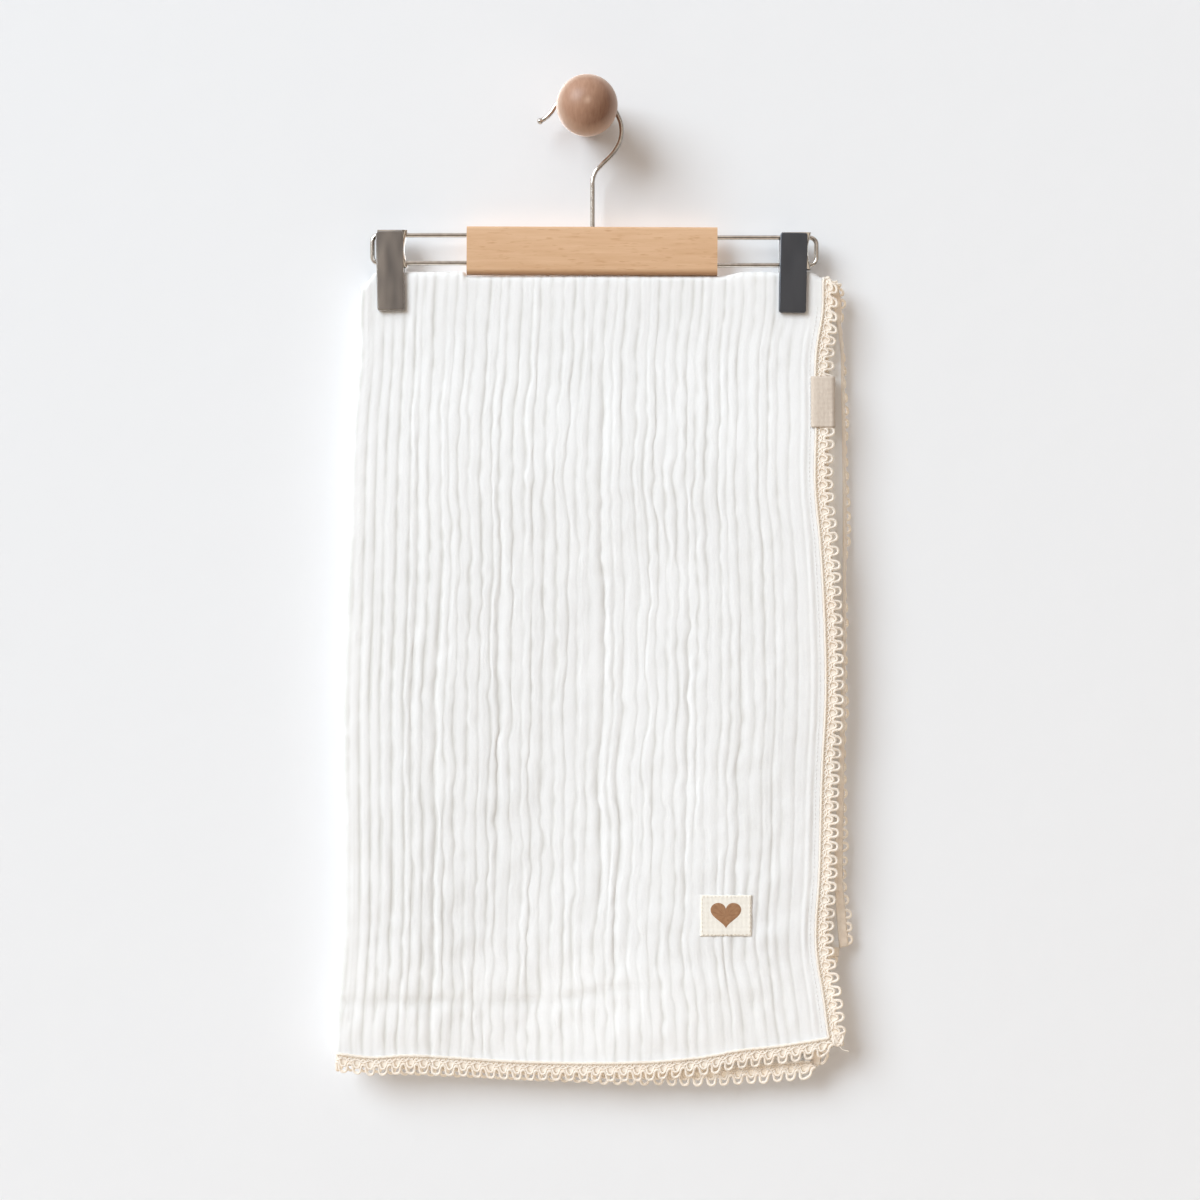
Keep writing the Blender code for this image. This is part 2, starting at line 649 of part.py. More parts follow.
def add_spring(name, middle, levels, collection, cutters):
    """A strip folded in a U seen from above: a leg inside each jaw's rim, and a web that the wires run through."""
    reach = OUTER_BEND + CLOTH_THICK / 2 - SPRING["metal"] / 2
    left = middle - JAW["width"] / 2 + 0.0010
    right = middle + JAW["width"] / 2 + SPRING["past"]
    top = levels[0] - SPRING["above"]
    bottom = levels[1] + SPRING["above"]
    heights = np.linspace(top, bottom, 7)
    points = []
    for down in heights:
        waist = SPRING["waist"] * math.sin(math.pi * (down - top) / (bottom - top))
        web = right - waist
        plan = [(left, -reach), (web - 0.0012, -reach), (web, -reach + 0.0012), (web, reach - 0.0012)]
        plan += [(web - 0.0012, reach), (left, reach)]
        points.append([(x, HANG_Y + y, -down) for x, y in plan])
    piece = add_object(name, grid_mesh(name, np.array(points)), "wire", collection)
    thicken(piece, SPRING["metal"])
    for level, down in zip(("upper", "lower"), levels):
        start = (right - 0.008, HANG_Y, -down)
        end = (right + 0.006, HANG_Y, -down)
        cut(piece, bore_cutter(f"bore_{name}_{level}", start, end, cutters))


def add_clips(collection, cutters):
    rails = {row[0]: row for row in RAILS}
    for name, rail, middle, top, lean in CLIPS:
        holder = bpy.data.objects.new(name + "_place", None)
        holder.location = (middle, HANG_Y, -top)
        holder.rotation_euler = (0, -math.radians(lean), 0)
        collection.objects.link(holder)
        add_jaw(name + "_front", -1, holder, collection)
        add_jaw(name + "_back", 1, holder, collection)
        add_spring(name + "_spring", middle, rails[rail][3:5], collection, cutters)


# ---------------------------------------------------------------- the peg


def add_peg(collection):
    """A ball on a short neck, turned in one piece. The profile is spun about Z and laid along -Y."""
    ball = PEG["ball"]
    join = math.asin(PEG["neck"] / ball)
    angles = np.linspace(0, math.pi - join, 12)
    profile = [(ball * math.sin(a), PEG["centre"] + ball * math.cos(a)) for a in angles]
    profile[0] = (0, PEG["centre"] + ball)
    profile += [(PEG["neck"], PEG["foot_edge"]), (PEG["neck"] - PEG["foot_edge"], 0), (0, 0)]
    bm = bmesh.new()
    verts = [bm.verts.new((radius, 0, height)) for radius, height in profile]
    for a, b in zip(verts, verts[1:]):
        bm.edges.new((a, b))
    mesh = bpy.data.meshes.new("wall_peg")
    bm.to_mesh(mesh)
    bm.free()
    piece = add_object("wall_peg", mesh, "peg", collection)
    screw = piece.modifiers.new("Turned", "SCREW")
    screw.steps = 28
    screw.render_steps = 28
    screw.use_merge_vertices = True
    screw.merge_threshold = 0.00001
    screw.use_smooth_shade = True
    piece.rotation_euler = (math.pi / 2, 0, 0)


# ---------------------------------------------------------------- the whole


def main():
    for old in list(bpy.data.objects):
        bpy.data.objects.remove(old)
    parts = bpy.data.collections.new("Swaddle blanket on a clip hanger")
    cutters = bpy.data.collections.new("Cutters")
    for collection in (parts, cutters):
        bpy.context.scene.collection.children.link(collection)
    cutters.hide_render = True

    add_blanket(parts)
    side_run("lace_side_outer", 1, 0, parts)
    side_run("lace_side_inner", -1, INNER_LACE_COLUMNS, parts)
    hem_run("lace_hem_front", -1, parts)
    hem_run("lace_hem_back", 2, parts)
    add_side_label(parts)
    add_corner_patch(parts)
    add_bar(parts, cutters)
    add_rails(parts)
    add_hook(parts)
    add_clips(parts, cutters)
    add_peg(parts)


main()
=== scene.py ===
# %% [markdown]
# # A muslin swaddle blanket on a clip hanger
#
# A crinkled cotton blanket is folded in half, folded again over its top third and pinched in the two clips of a
# wooden hanger. The hanger's wire hook goes over the neck of a round wall peg. This lesson dresses the plain solids
# of that object: each piece is modelled again in more detail, in the same place, and gets its own finish.

# %% Load the solids that say where everything is
import math

import bmesh
import bpy
import numpy as np
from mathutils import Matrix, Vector


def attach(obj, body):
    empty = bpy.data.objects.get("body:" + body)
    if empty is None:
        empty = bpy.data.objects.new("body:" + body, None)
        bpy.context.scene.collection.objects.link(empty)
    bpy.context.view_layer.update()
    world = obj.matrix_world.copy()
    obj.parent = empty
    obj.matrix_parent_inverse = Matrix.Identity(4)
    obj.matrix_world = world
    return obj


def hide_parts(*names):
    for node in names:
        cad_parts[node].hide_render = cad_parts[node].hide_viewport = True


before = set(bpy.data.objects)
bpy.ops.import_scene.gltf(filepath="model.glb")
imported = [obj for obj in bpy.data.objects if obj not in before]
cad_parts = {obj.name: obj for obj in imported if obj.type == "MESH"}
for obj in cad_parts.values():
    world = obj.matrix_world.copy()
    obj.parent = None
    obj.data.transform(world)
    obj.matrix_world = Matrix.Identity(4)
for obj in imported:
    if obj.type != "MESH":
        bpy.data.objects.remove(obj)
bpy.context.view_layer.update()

# %% [markdown]
# ## The camera
#
# The photograph was taken square on, from about the height of the blanket's upper half. A long lens keeps the wires
# and the fold straight, so the camera stands well back and looks along +Y with no tilt.

# %% Stand the camera in front of the wall
CAMERA_AT = (0.00896, -1.7, -0.3408)
LENS_MM = 72.12

bpy.ops.object.select_all(action="DESELECT")
bpy.ops.object.camera_add(location=CAMERA_AT, rotation=(math.pi / 2, 0, 0))
camera = bpy.context.object
camera.name = "camera"
camera.data.lens = LENS_MM
camera.data.sensor_width = 36
bpy.context.scene.camera = camera
print("camera at", tuple(camera.location))

# %% [markdown]
# ## Small helpers
#
# Every finish below is a Principled shader with a few texture nodes in front of it. Colours are written as they look
# on a screen and turned into the linear values that a shader wants. One helper adds a node and feeds its sockets.
# The others give a cloudy grey value, a colour or a mask made from it, and a bump.


# %% Helpers for finishes
def on_screen(red, green, blue):
    """A colour as it looks on screen, 0 to 255, turned into the linear colour that a shader reads."""
    shares = [value / 255 for value in (red, green, blue)]
    return tuple(s / 12.92 if s <= 0.04045 else ((s + 0.055) / 1.055) ** 2.4 for s in shares) + (1.0,)


def feed(finish, socket, value):
    """Joins an output to a socket, or sets the socket to a plain value."""
    if isinstance(value, bpy.types.NodeSocket):
        finish.node_tree.links.new(value, socket)
    else:
        socket.default_value = value


def add_node(finish, kind, *sockets, **named):
    """Adds a node. Its sockets are fed in order, or by name with _ for a space. Other names are its settings."""
    node = finish.node_tree.nodes.new(kind)
    for name, value in named.items():
        socket = name.replace("_", " ")
        if socket in node.inputs:
            feed(finish, node.inputs[socket], value)
        else:
            setattr(node, name, value)
    for number, value in enumerate(sockets):
        feed(finish, node.inputs[number], value)
    return node


def new_finish(name, **sockets):
    """A Principled material, with the sockets of its shader set by name."""
    finish = bpy.data.materials.new(name)
    finish.use_nodes = True
    for socket, value in sockets.items():
        feed(finish, shader_of(finish).inputs[socket.replace("_", " ")], value)
    return finish


def shader_of(finish):
    return finish.node_tree.nodes["Principled BSDF"]


def placed(finish, scale=(1, 1, 1), turn=(0, 0, 0), on="Object"):
    """Texture coordinates on the object or its UV map, stretched by scale."""
    where = add_node(finish, "ShaderNodeTexCoord").outputs[on]
    return add_node(finish, "ShaderNodeMapping", Vector=where, Scale=scale, Rotation=turn).outputs["Vector"]


def mottle(finish, spots, detail, roughness=0.5, turn=(0, 0, 0), on="Object"):
    """A cloudy grey value with this many spots to a metre, or so many along each axis."""
    where = placed(finish, spots if isinstance(spots, tuple) else (spots,) * 3, turn, on)
    cloud = add_node(finish, "ShaderNodeTexNoise", Vector=where, Scale=1.0, Detail=detail, Roughness=roughness)
    return cloud.outputs["Fac"]


def ramp(finish, value, first, last, low=0.0, high=1.0):
    """A linear colour that runs from first to last as a grey value goes from low to high."""
    node = add_node(finish, "ShaderNodeValToRGB", Fac=value)
    for stop, place, colour in zip(node.color_ramp.elements, (low, high), (first, last)):
        stop.position = place
        stop.color = colour
    return node.outputs["Color"]


def shade_between(finish, value, first, last, low=0.0, high=1.0):
    """A ramp between two colours as they look on screen."""
    return ramp(finish, value, on_screen(*first), on_screen(*last), low, high)


def mask(finish, value, low, high, first=0, last=1):
    """A ramp between two greys, from black to white unless told otherwise."""
    return ramp(finish, value, (first, first, first, 1), (last, last, last, 1), low, high)


def blended(finish, share, first, second, blend="MIX"):
    """The first colour where share is 0 and the second where it is 1. Each is an output or a colour on screen."""
    node = add_node(finish, "ShaderNodeMix", share, data_type="RGBA", blend_type=blend)
    for number, colour in ((6, first), (7, second)):
        feed(finish, node.inputs[number], on_screen(*colour) if isinstance(colour, tuple) else colour)
    return node.outputs[2]


def how_far(finish, place, direction):
    """A grey value that grows along a direction."""
    return add_node(finish, "ShaderNodeVectorMath", place, direction, operation="DOT_PRODUCT").outputs["Value"]


def raise_by(finish, height, distance, strength, **over):
    """A bump of this many metres where the height is 1, on top of another bump if Normal gives one."""
    bump = add_node(finish, "ShaderNodeBump", Height=height, Distance=distance, Strength=strength, **over)
    return bump.outputs["Normal"]


def wire_in(finish, colour, bump=None):
    feed(finish, shader_of(finish).inputs["Base Color"], colour)
    if bump:
        feed(finish, shader_of(finish).inputs["Normal"], bump)


def mix_in(finish, share, other):
    """Mixes another shader with the Principled one. The share is an output or a plain value."""
    both = add_node(finish, "ShaderNodeMixShader", share, shader_of(finish).outputs["BSDF"], other.outputs["BSDF"])
    feed(finish, finish.node_tree.nodes["Material Output"].inputs["Surface"], both.outputs["Shader"])


def let_light_through(finish, tint, share):
    """Thin cloth and yarn pass some light on to what lies behind them."""
    mix_in(finish, share, add_node(finish, "ShaderNodeBsdfTranslucent", Color=on_screen(*tint)))


# %% [markdown]
# Modelling goes as it would by hand: add a primitive, enter edit mode, pick faces or edges, run an operator. The
# picking is done here by a test on each one's middle and direction. Cloth and yarn are laid out as grids and tubes of
# points instead. A finished piece is then turned over to this object: it rides on its one body, stands for its plain
# solids and takes its finish.


# %% Helpers for modelling
def start_alone():
    if bpy.context.mode != "OBJECT":
        bpy.ops.object.mode_set(mode="OBJECT")
    bpy.ops.object.select_all(action="DESELECT")


def make_active(piece):
    start_alone()
    piece.select_set(True)
    bpy.context.view_layer.objects.active = piece


def start_editing(piece):
    """Goes into edit mode on a piece, with all of it selected."""
    make_active(piece)
    bpy.ops.object.mode_set(mode="EDIT")
    bpy.ops.mesh.select_all(action="SELECT")


def pick(piece, kind, test):
    """In edit mode, selects just the faces or edges whose middle and direction pass the test."""
    bpy.ops.mesh.select_mode(type=kind)
    bm = bmesh.from_edit_mesh(piece.data)
    for face in bm.faces if kind == "FACE" else ():
        face.select_set(bool(test(face.calc_center_median(), face.normal)))
    for edge in bm.edges if kind == "EDGE" else ():
        ends = [vert.co for vert in edge.verts]
        edge.select_set(bool(test((ends[0] + ends[1]) / 2, (ends[1] - ends[0]).normalized())))
    bm.select_flush_mode()
    bmesh.update_edit_mesh(piece.data)


def round_edges(piece, size, segments, test):
    """In edit mode, bevels the edges that pass the test."""
    pick(piece, "EDGE", test)
    bpy.ops.mesh.bevel(offset=size, segments=segments, profile=0.5, affect="EDGES")


def close_up(piece, distance):
    """Joins points that lie this near and turns all the faces outwards."""
    start_editing(piece)
    bpy.ops.mesh.remove_doubles(threshold=distance)
    bpy.ops.mesh.normals_make_consistent(inside=False)
    bpy.ops.object.mode_set(mode="OBJECT")


def change(piece, kind, **settings):
    """Puts a modifier on a piece and applies it."""
    make_active(piece)
    modifier = piece.modifiers.new(kind.lower(), kind)
    for name, value in settings.items():
        setattr(modifier, name, value)
    bpy.ops.object.modifier_apply(modifier=modifier.name)


def smooth_up_to(degrees):
    """Smooths the active piece, apart from edges that turn more than this."""
    bpy.ops.object.shade_smooth_by_angle(angle=math.radians(degrees))


def settle_in_place(piece):
    """Puts the piece's place into its mesh, so that the object itself sits at the origin."""
    make_active(piece)
    bpy.ops.object.transform_apply(location=True, rotation=True, scale=True)


def hand_over(piece, finish, material_slot, *stands_for):
    piece.data.materials.append(finish)
    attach(piece, "root")
    if stands_for:
        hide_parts(*stands_for)
    print(piece.name, "has", sum(len(p.vertices) - 2 for p in piece.data.polygons), "triangles")
    return piece


# %% [markdown]
# ## The form of the blanket
#
# Cloth that hangs in four layers is easiest to describe as one surface with two directions. "Across" goes from the
# left fold to the sewn edges on the right, and "run" goes from the front hem up over the top fold and down to the
# back hem. The short tables below say where the fold, the edge and the hems lie at a few heights, and a smooth curve
# joins the rows.

# %% Sizes of the hanging blanket
HANG_Y = -0.017  # the plane of the hook, the bar and the fold
CLOTH_THICK = 0.0012
SEWN_GAP = 0.0003  # between a piece and what it is sewn to or seated on
LAYER_PITCH = 0.0021  # from layer to layer where they lie tight
CREST_TOP = 1.5 * LAYER_PITCH + CLOTH_THICK / 2  # from the fold's axis up to the cloth's outer face
FOLDED_WIDTH = 0.325
CROWN_DOWN = 0.1115  # top of the fold beside the bar
CROWN_UNDER_BAR = 0.1145
PRESSED_TO = 0.147  # the layers lie tight down to here
LOOSE_FROM = 0.27  # and are fully apart from here on
FRONT_PAIR = {"half": 0.00255, "middle": 0.00495}  # half the space between its two layers, and their middle
BACK_PAIR = {"half": 0.00205, "middle": 0.00445}
STACK_LEAN = 0.0012  # the stack hangs this much nearer the wall low down
BAR = {"left": -0.0841, "right": 0.0909, "top": 0.0801, "bottom": 0.1136, "depth": 0.0120}
CLIPS = (  # name, wire's name, x of the top's middle, down to the top, lean in degrees
    ("clip_left", "rail_left", -0.1381, 0.0833, 1.4),
    ("clip_right", "rail_right", 0.1443, 0.0847, -1.2),
)
JAW = {"width": 0.0190, "height": 0.0556, "metal": 0.0009, "outer": 0.0075}

FRONT_SHAPE = (  # down, left fold x, right seam x
    (0.111, -0.1560, 0.1650),
    (0.139, -0.1579, 0.1646),
    (0.167, -0.1576, 0.1602),
    (0.215, -0.1621, 0.1598),
    (0.264, -0.1645, 0.1592),
    (0.299, -0.1652, 0.1624),
    (0.341, -0.1666, 0.1650),
    (0.411, -0.1691, 0.1664),
    (0.459, -0.1690, 0.1640),
    (0.529, -0.1684, 0.1622),
    (0.585, -0.1694, 0.1600),
    (0.620, -0.1722, 0.1652),
    (0.647, -0.1748, 0.1686),
)
BACK_SHAPE = (  # down, left fold x, right seam x, lace reach in x
    (0.111, -0.1560, 0.1650, 0.0130),
    (0.130, -0.1585, 0.1710, 0.0080),
    (0.158, -0.1600, 0.1770, 0.0038),
    (0.200, -0.1605, 0.1784, 0.0040),
    (0.313, -0.1610, 0.1794, 0.0042),
    (0.411, -0.1610, 0.1781, 0.0050),
    (0.467, -0.1605, 0.1757, 0.0076),
    (0.545, -0.1600, 0.1738, 0.0096),
    (0.566, -0.1600, 0.1752, 0.0102),
    (0.584, -0.1600, 0.1768, 0.0102),
)
INNER_SEAM_X = 0.1567
FRONT_HEM = (  # across from the fold, down
    (0.000, 0.6576),
    (0.069, 0.6600),
    (0.130, 0.6588),
    (0.231, 0.6604),
    (0.333, 0.6628),
    (0.535, 0.6642),
    (0.657, 0.6628),
    (0.738, 0.6600),
    (0.819, 0.6552),
    (0.900, 0.6523),
    (1.000, 0.6470),
)
INNER_HEM = ((0.00, 0.6576), (0.22, 0.6620), (0.55, 0.6666), (0.82, 0.6680), (1.00, 0.6640))
BACK_HEM = ((0.00, 0.5800), (0.30, 0.5822), (0.70, 0.5812), (1.00, 0.5846))


# %% Read a table along a smooth curve
def smooth(table, column, at):
    """A column of a table along a smooth curve through its rows, level past both ends."""
    places = np.array([row[0] for row in table])
    values = np.array([row[column] for row in table])
    slopes = np.gradient(values, places)
    at = np.clip(at, places[0], places[-1])
    low = np.clip(np.searchsorted(places, at) - 1, 0, len(places) - 2)
    span = places[low + 1] - places[low]
    t = (at - places[low]) / span
    return (
        (1 + 2 * t) * (1 - t) ** 2 * values[low]
        + t * (1 - t) ** 2 * span * slopes[low]
        + t**2 * (3 - 2 * t) * values[low + 1]
        - t**2 * (1 - t) * span * slopes[low + 1]
    )


def ease(value, low, high):
    """0 below low, 1 above high, and a soft rise between."""
    t = np.clip((value - low) / (high - low), 0, 1)
    return t * t * (3 - 2 * t)


def window(value, low, high, soft):
    """1 between low and high, fading to 0 over a soft margin outside them."""
    return ease(value, low - soft, low) * (1 - ease(value, high, high + soft))


print("seam at half height:", round(float(smooth(FRONT_SHAPE, 2, 0.38)), 4))

# %% [markdown]
# ## The crinkle
#
# Crinkled muslin is woven with threads that shrink at different rates, so it puckers into soft puffs between narrow
# creases that run down the cloth. No two creases are alike: they wander, come close, fade out and start again. A
# lattice of seeded random numbers, read smoothly, gives that without anything that differs from run to run.


# %% Smooth seeded randomness
LATTICE = 256
FRONT, BACK = 0, 40  # seeds of the two halves' creases lie this far apart


def soft_noise(seed, row, column):
    """A value between -1 and 1 at a place on a lattice of random numbers, smooth between its points."""
    numbers = np.random.default_rng(seed).uniform(-1, 1, (LATTICE, LATTICE))
    row, column = np.broadcast_arrays(np.asarray(row, float), np.asarray(column, float))
    row_at, column_at = np.floor(row).astype(int), np.floor(column).astype(int)
    t, s = row - row_at, column - column_at
    t, s = t * t * (3 - 2 * t), s * s * (3 - 2 * s)

    def at(i, j):
        return numbers[(row_at + i) % LATTICE, (column_at + j) % LATTICE]

    return (at(0, 0) * (1 - s) + at(0, 1) * s) * (1 - t) + (at(1, 0) * (1 - s) + at(1, 1) * s) * t


print("noise at one place:", round(float(soft_noise(7, 3.4, 8.1)), 4))

# %% Where the creases lie
RIBS = 43
RIB_DEPTH = 0.00108
HEM_BAND = 0.0050
DEEP_CREASES = (  # crease, from down, to down, extra depth
    (4, 0.44, 0.56, 0.0006),
    (6, 0.25, 0.44, 0.0008),
    (8, 0.36, 0.67, 0.0011),
    (14, 0.30, 0.50, 0.0010),
    (18, 0.34, 0.46, 0.0005),
    (23, 0.22, 0.52, 0.0009),
    (25, 0.40, 0.60, 0.0007),
    (31, 0.36, 0.52, 0.0008),
    (36, 0.42, 0.56, 0.0006),
)


def rib_edges():
    """Places of the creases as shares of the folded width: evenly spread, unevenly wide."""
    edges = np.array([k + 0.11 * math.sin(1.7 * k) + 0.06 * math.sin(3.9 * k + 1) for k in range(RIBS + 1)])
    ribbed_share = 1 - HEM_BAND / (FRONT_SHAPE[0][2] - FRONT_SHAPE[0][1])
    return (edges - edges[0]) / (edges[-1] - edges[0]) * ribbed_share


RIB_EDGES = rib_edges()


def rib_at(across):
    """The rib's number at a share of the width: whole numbers are creases. Past the last rib is the hem band."""
    return np.interp(across, RIB_EDGES, np.arange(RIBS + 1))


print("widest rib:", round(float(np.diff(RIB_EDGES).max() * FOLDED_WIDTH * 1000), 1), "mm")


# %% How the creases wander sideways
def meander(across, down, seed):
    held = np.clip(5 * across * (1 - across), 0, 1) * (0.50 + 0.50 * ease(down, 0.13, 0.22))
    drift = 0.0030 * soft_noise(seed, down / 0.16, across * 5)
    together = 0.0013 * soft_noise(seed + 1, down / 0.042, across * 13)
    alone = 0.0012 * soft_noise(seed + 2, down / 0.017, 1.1 * rib_at(across))
    kinks = 0.0008 * soft_noise(seed + 11, down / 0.008, 1.3 * rib_at(across))
    return held * (drift + together + alone + kinks)


def under_jaws(x, down):
    """1 where a clip presses the cloth flat."""
    pressed = 0.0
    for _, _, middle, _, _ in CLIPS:
        beside = JAW["width"] / 2 + 0.002
        pressed = pressed + window(x, middle - beside, middle + beside + 0.001, 0.004)
    return pressed * (1 - ease(down, PRESSED_TO, PRESSED_TO + 0.012))


# %% How far the puffs stand out between them
def groove(distance, width):
    """A crease's dip: sharp at its bottom, running out softly at this width."""
    return np.clip(1 - np.abs(distance) / width, 0, 1) ** 1.25


def crease_strength(seed, down, number, length):
    return np.clip(0.78 + 0.40 * soft_noise(seed, down / length, number), 0.35, 1)


def creases(across, down, seed, width):
    """1 at the bottom of a crease at its strongest, 0 on the puffs, for creases of this width."""
    rib = rib_at(across)
    number = np.floor(rib)
    t = rib - number
    left = crease_strength(seed + 3, down, number, 0.055)
    right = crease_strength(seed + 3, down, number + 1, 0.055)
    second = np.clip(-0.10 + 0.90 * soft_noise(seed + 6, down / 0.060, number + 0.5), 0, 1)
    return left * groove(t, width) + right * groove(1 - t, width) + 0.5 * second * groove(t - 0.46, 0.7 * width)


def relief(across, x, down, hem_down, seed):
    """How far the cloth stands out: puffs between dips, with tucks, dents and puckers, and a roll at the hem."""
    rib = rib_at(across)
    number = np.floor(rib)
    t = rib - number
    size = 1 + 0.10 * soft_noise(seed + 5, down / 0.07, number) + 0.08 * np.sin(2.4 * number)
    dips = 0.30 * creases(across, down, seed, 0.36)
    dome = 0.12 * (1 - (2 * t - 1) ** 2)
    crimp = 0.75 + 0.45 * ease(down, 0.25, 0.50) + 0.80 * ease(down, 0.52, 0.62)
    tucks = 0.17 * crimp * soft_noise(seed + 7, down / 0.0090, rib * 0.9)
    tucks = tucks + 0.07 * soft_noise(seed + 8, down / 0.020, rib * 2)
    dented = ease(down, 0.34, 0.52) + 0.35 * ease(down, 0.54, 0.62)
    dents = 0.36 * soft_noise(seed + 12, down / 0.016, across * 12) * dented
    puckers = 0.15 * soft_noise(seed + 10, down / 0.045, across * 17) + dents
    region = 0.90 + 0.22 * soft_noise(seed + 9, down / 0.09, across * 6) - 0.30 * ease(across, 0.88, 0.97)
    free = 0.60 + 0.40 * ease(down, 0.13, 0.20)
    gathered = 0.35 + 0.65 * ease(hem_down - down, 0.002, 0.020)
    ribbed = 1 - ease(rib, RIBS - 0.55, RIBS)
    roll = 0.00035 * window(hem_down - down, 0.0004, 0.0022, 0.0009)
    height = size * (0.80 + dome - dips) + tucks + puckers
    return RIB_DEPTH * height * region * free * gathered * ribbed * (1 - under_jaws(x, down)) + roll


PACKED_DEPTH = 0.0015


def packing_fold(across, down):
    """A faint level valley low on the front, where the blanket lay folded in its box."""
    along = 0.6205 - 0.010 * ease(across, 0.42, 0.60)
    strength = (0.55 + 0.45 * soft_noise(31, 0.5, across * 21)) * (1 - ease(across, 0.55, 0.70))
    return PACKED_DEPTH * strength * groove(down - along, 0.0065)


def deep_creases(across, down):
    rib = rib_at(across)
    depth = 0.0
    for number, top, bottom, extra in DEEP_CREASES:
        beside = np.clip(1 - np.abs(rib - number) / 0.5, 0, 1)
        depth = depth + 0.55 * extra * beside * window(down, top, bottom, 0.05)
    return depth


def long_waves(across, down):
    """Soft waves that all four layers share."""
    low = 0.0013 * np.sin(2 * math.pi * (1.6 * across + 0.15) + 5 * down)
    return low * ease(down, 0.20, 0.50)


# %% The surface of all four layers
WALL_LEAN_Y = -0.0118
LEFT_DROOP, RIGHT_DROOP = 0.0095, 0.0045


def crown(x):
    """How far down the top of the fold lies: up beside the bar, pressed down under it, drooping at both ends."""
    past_left_end = ease(x, BAR["left"] - 0.0031, BAR["left"] - 0.0006)
    past_right_end = ease(x, BAR["right"] + 0.0012, BAR["right"] + 0.0192)
    under_bar = past_left_end * (1 - past_right_end)
    ends = LEFT_DROOP * ease(-x, 0.1480, 0.1565) + RIGHT_DROOP * ease(x, 0.1550, 0.1650)
    return CROWN_DOWN + (CROWN_UNDER_BAR - CROWN_DOWN) * under_bar + ends


def blanket_point(across, turn, run, proud=0.0):
    """A point of the cloth.

    across: 0 at the left fold to 1 at the seam. turn: 1 on an outer layer, -1 on an inner one, between them round
    the left fold. run: -1 at the front hem, 0 to 1 over the top fold, 2 at the back hem. proud moves the point
    outwards from the cloth's middle.
    """
    across, turn, run = np.broadcast_arrays(*(np.asarray(v, float) for v in (across, turn, run)))
    angle = (1 - turn) * math.pi / 2
    outer = turn >= 0
    drop = np.clip(np.where(run < 0.5, -run, run - 1), 0, 1)
    bend = np.clip(run, 0, 1) * math.pi
    behind = run > 0.5

    left_top, right_top = FRONT_SHAPE[0][1:]
    rough_x = left_top + across * (np.where(outer, right_top, INNER_SEAM_X) - left_top)
    spring = crown(rough_x) + CREST_TOP
    front_hem = np.where(outer, smooth(FRONT_HEM, 1, across), smooth(INNER_HEM, 1, across))
    hem = np.where(behind, smooth(BACK_HEM, 1, across), front_hem)
    down = spring + drop * (hem - spring)

    loose = ease(down, PRESSED_TO, LOOSE_FROM)
    pair_half = np.where(behind, BACK_PAIR["half"], FRONT_PAIR["half"])
    pair_middle = np.where(behind, BACK_PAIR["middle"], FRONT_PAIR["middle"])
    half = LAYER_PITCH / 2 + loose * (pair_half - LAYER_PITCH / 2)
    middle = LAYER_PITCH + loose * (pair_middle - LAYER_PITCH)

    left = np.where(behind, smooth(BACK_SHAPE, 1, down), smooth(FRONT_SHAPE, 1, down))
    seam = np.where(behind, smooth(BACK_SHAPE, 2, down), smooth(FRONT_SHAPE, 2, down))
    seam = np.where(outer, seam, INNER_SEAM_X)
    wander = np.where(behind, meander(across, down, BACK), meander(across, down, FRONT))
    x = left + (half + proud) * (1 - np.sin(angle)) - proud + across * (seam - left - half) + wander

    reach = middle + (half + proud) * np.cos(angle)
    facing = np.clip(np.cos(angle), 0, 1)
    raised = np.where(behind, relief(across, x, down, hem, BACK), relief(across, x, down, hem, FRONT))
    raised = raised * (1 - 0.25 * np.sin(bend))
    sunk = deep_creases(across, down) + packing_fold(across, down)
    reach = reach + (raised - np.where(behind, 0, sunk)) * facing
    to_wall = np.where(behind, 1, -1)
    y = HANG_Y + STACK_LEAN * ease(down, 0.15, 0.60) + to_wall * reach + long_waves(across, down)
    at_seam = ease(across, 0.93, 1.0) * ease(down, 0.13, 0.17)
    y = np.where(behind & outer, y + at_seam * (WALL_LEAN_Y - y), y)

    over_top = (run > 0) & (run < 1)
    y = np.where(over_top, HANG_Y - reach * np.cos(bend), y)
    z = np.where(over_top, -down + reach * np.sin(bend), -down)
    return np.stack([x, y, z], axis=-1)


# %% [markdown]
# ## The blanket's mesh
#
# A rib needs more points beside its creases than on its round back, so the mesh's columns follow the ribs, eight to
# each, and every crease gets a line of points of its own. The hidden inner layers need fewer, and the front hem gets
# some closer rows. All the edges are hemmed: the last rows and columns roll round and go back a few millimetres
# behind the cloth.

# %% Rows and columns that follow the ribs
RIB_STEPS = (0.0, 0.08, 0.18, 0.31, 0.46, 0.64, 0.80, 0.92)
FRONT_ROWS = 176
NEAR_HEM = (1, 0.998, 0.9945, 0.989)  # shares of the drop: closer rows for the hem's roll
BEND_ROWS = 10
BACK_ROWS = 56
FOLD_COLUMNS = 8
INNER_COLUMNS = 24


def blanket_columns():
    """Share across and turn of each column, from the outer seam round the left fold to the inner seam."""
    ribs = np.array([k + step for k in range(RIBS) for step in RIB_STEPS] + [RIBS])
    ribbed = np.interp(ribs, np.arange(RIBS + 1), RIB_EDGES)
    band = np.linspace(ribbed[-1], 1, 4)[1:]
    outer = np.concatenate([ribbed, band])[::-1]
    fold = np.linspace(1, -1, FOLD_COLUMNS + 1)[1:-1]
    inner = np.linspace(0, 1, INNER_COLUMNS + 1)
    across = np.concatenate([outer, np.zeros(len(fold)), inner])
    turn = np.concatenate([np.ones(len(outer)), fold, -np.ones(len(inner))])
    return across, turn


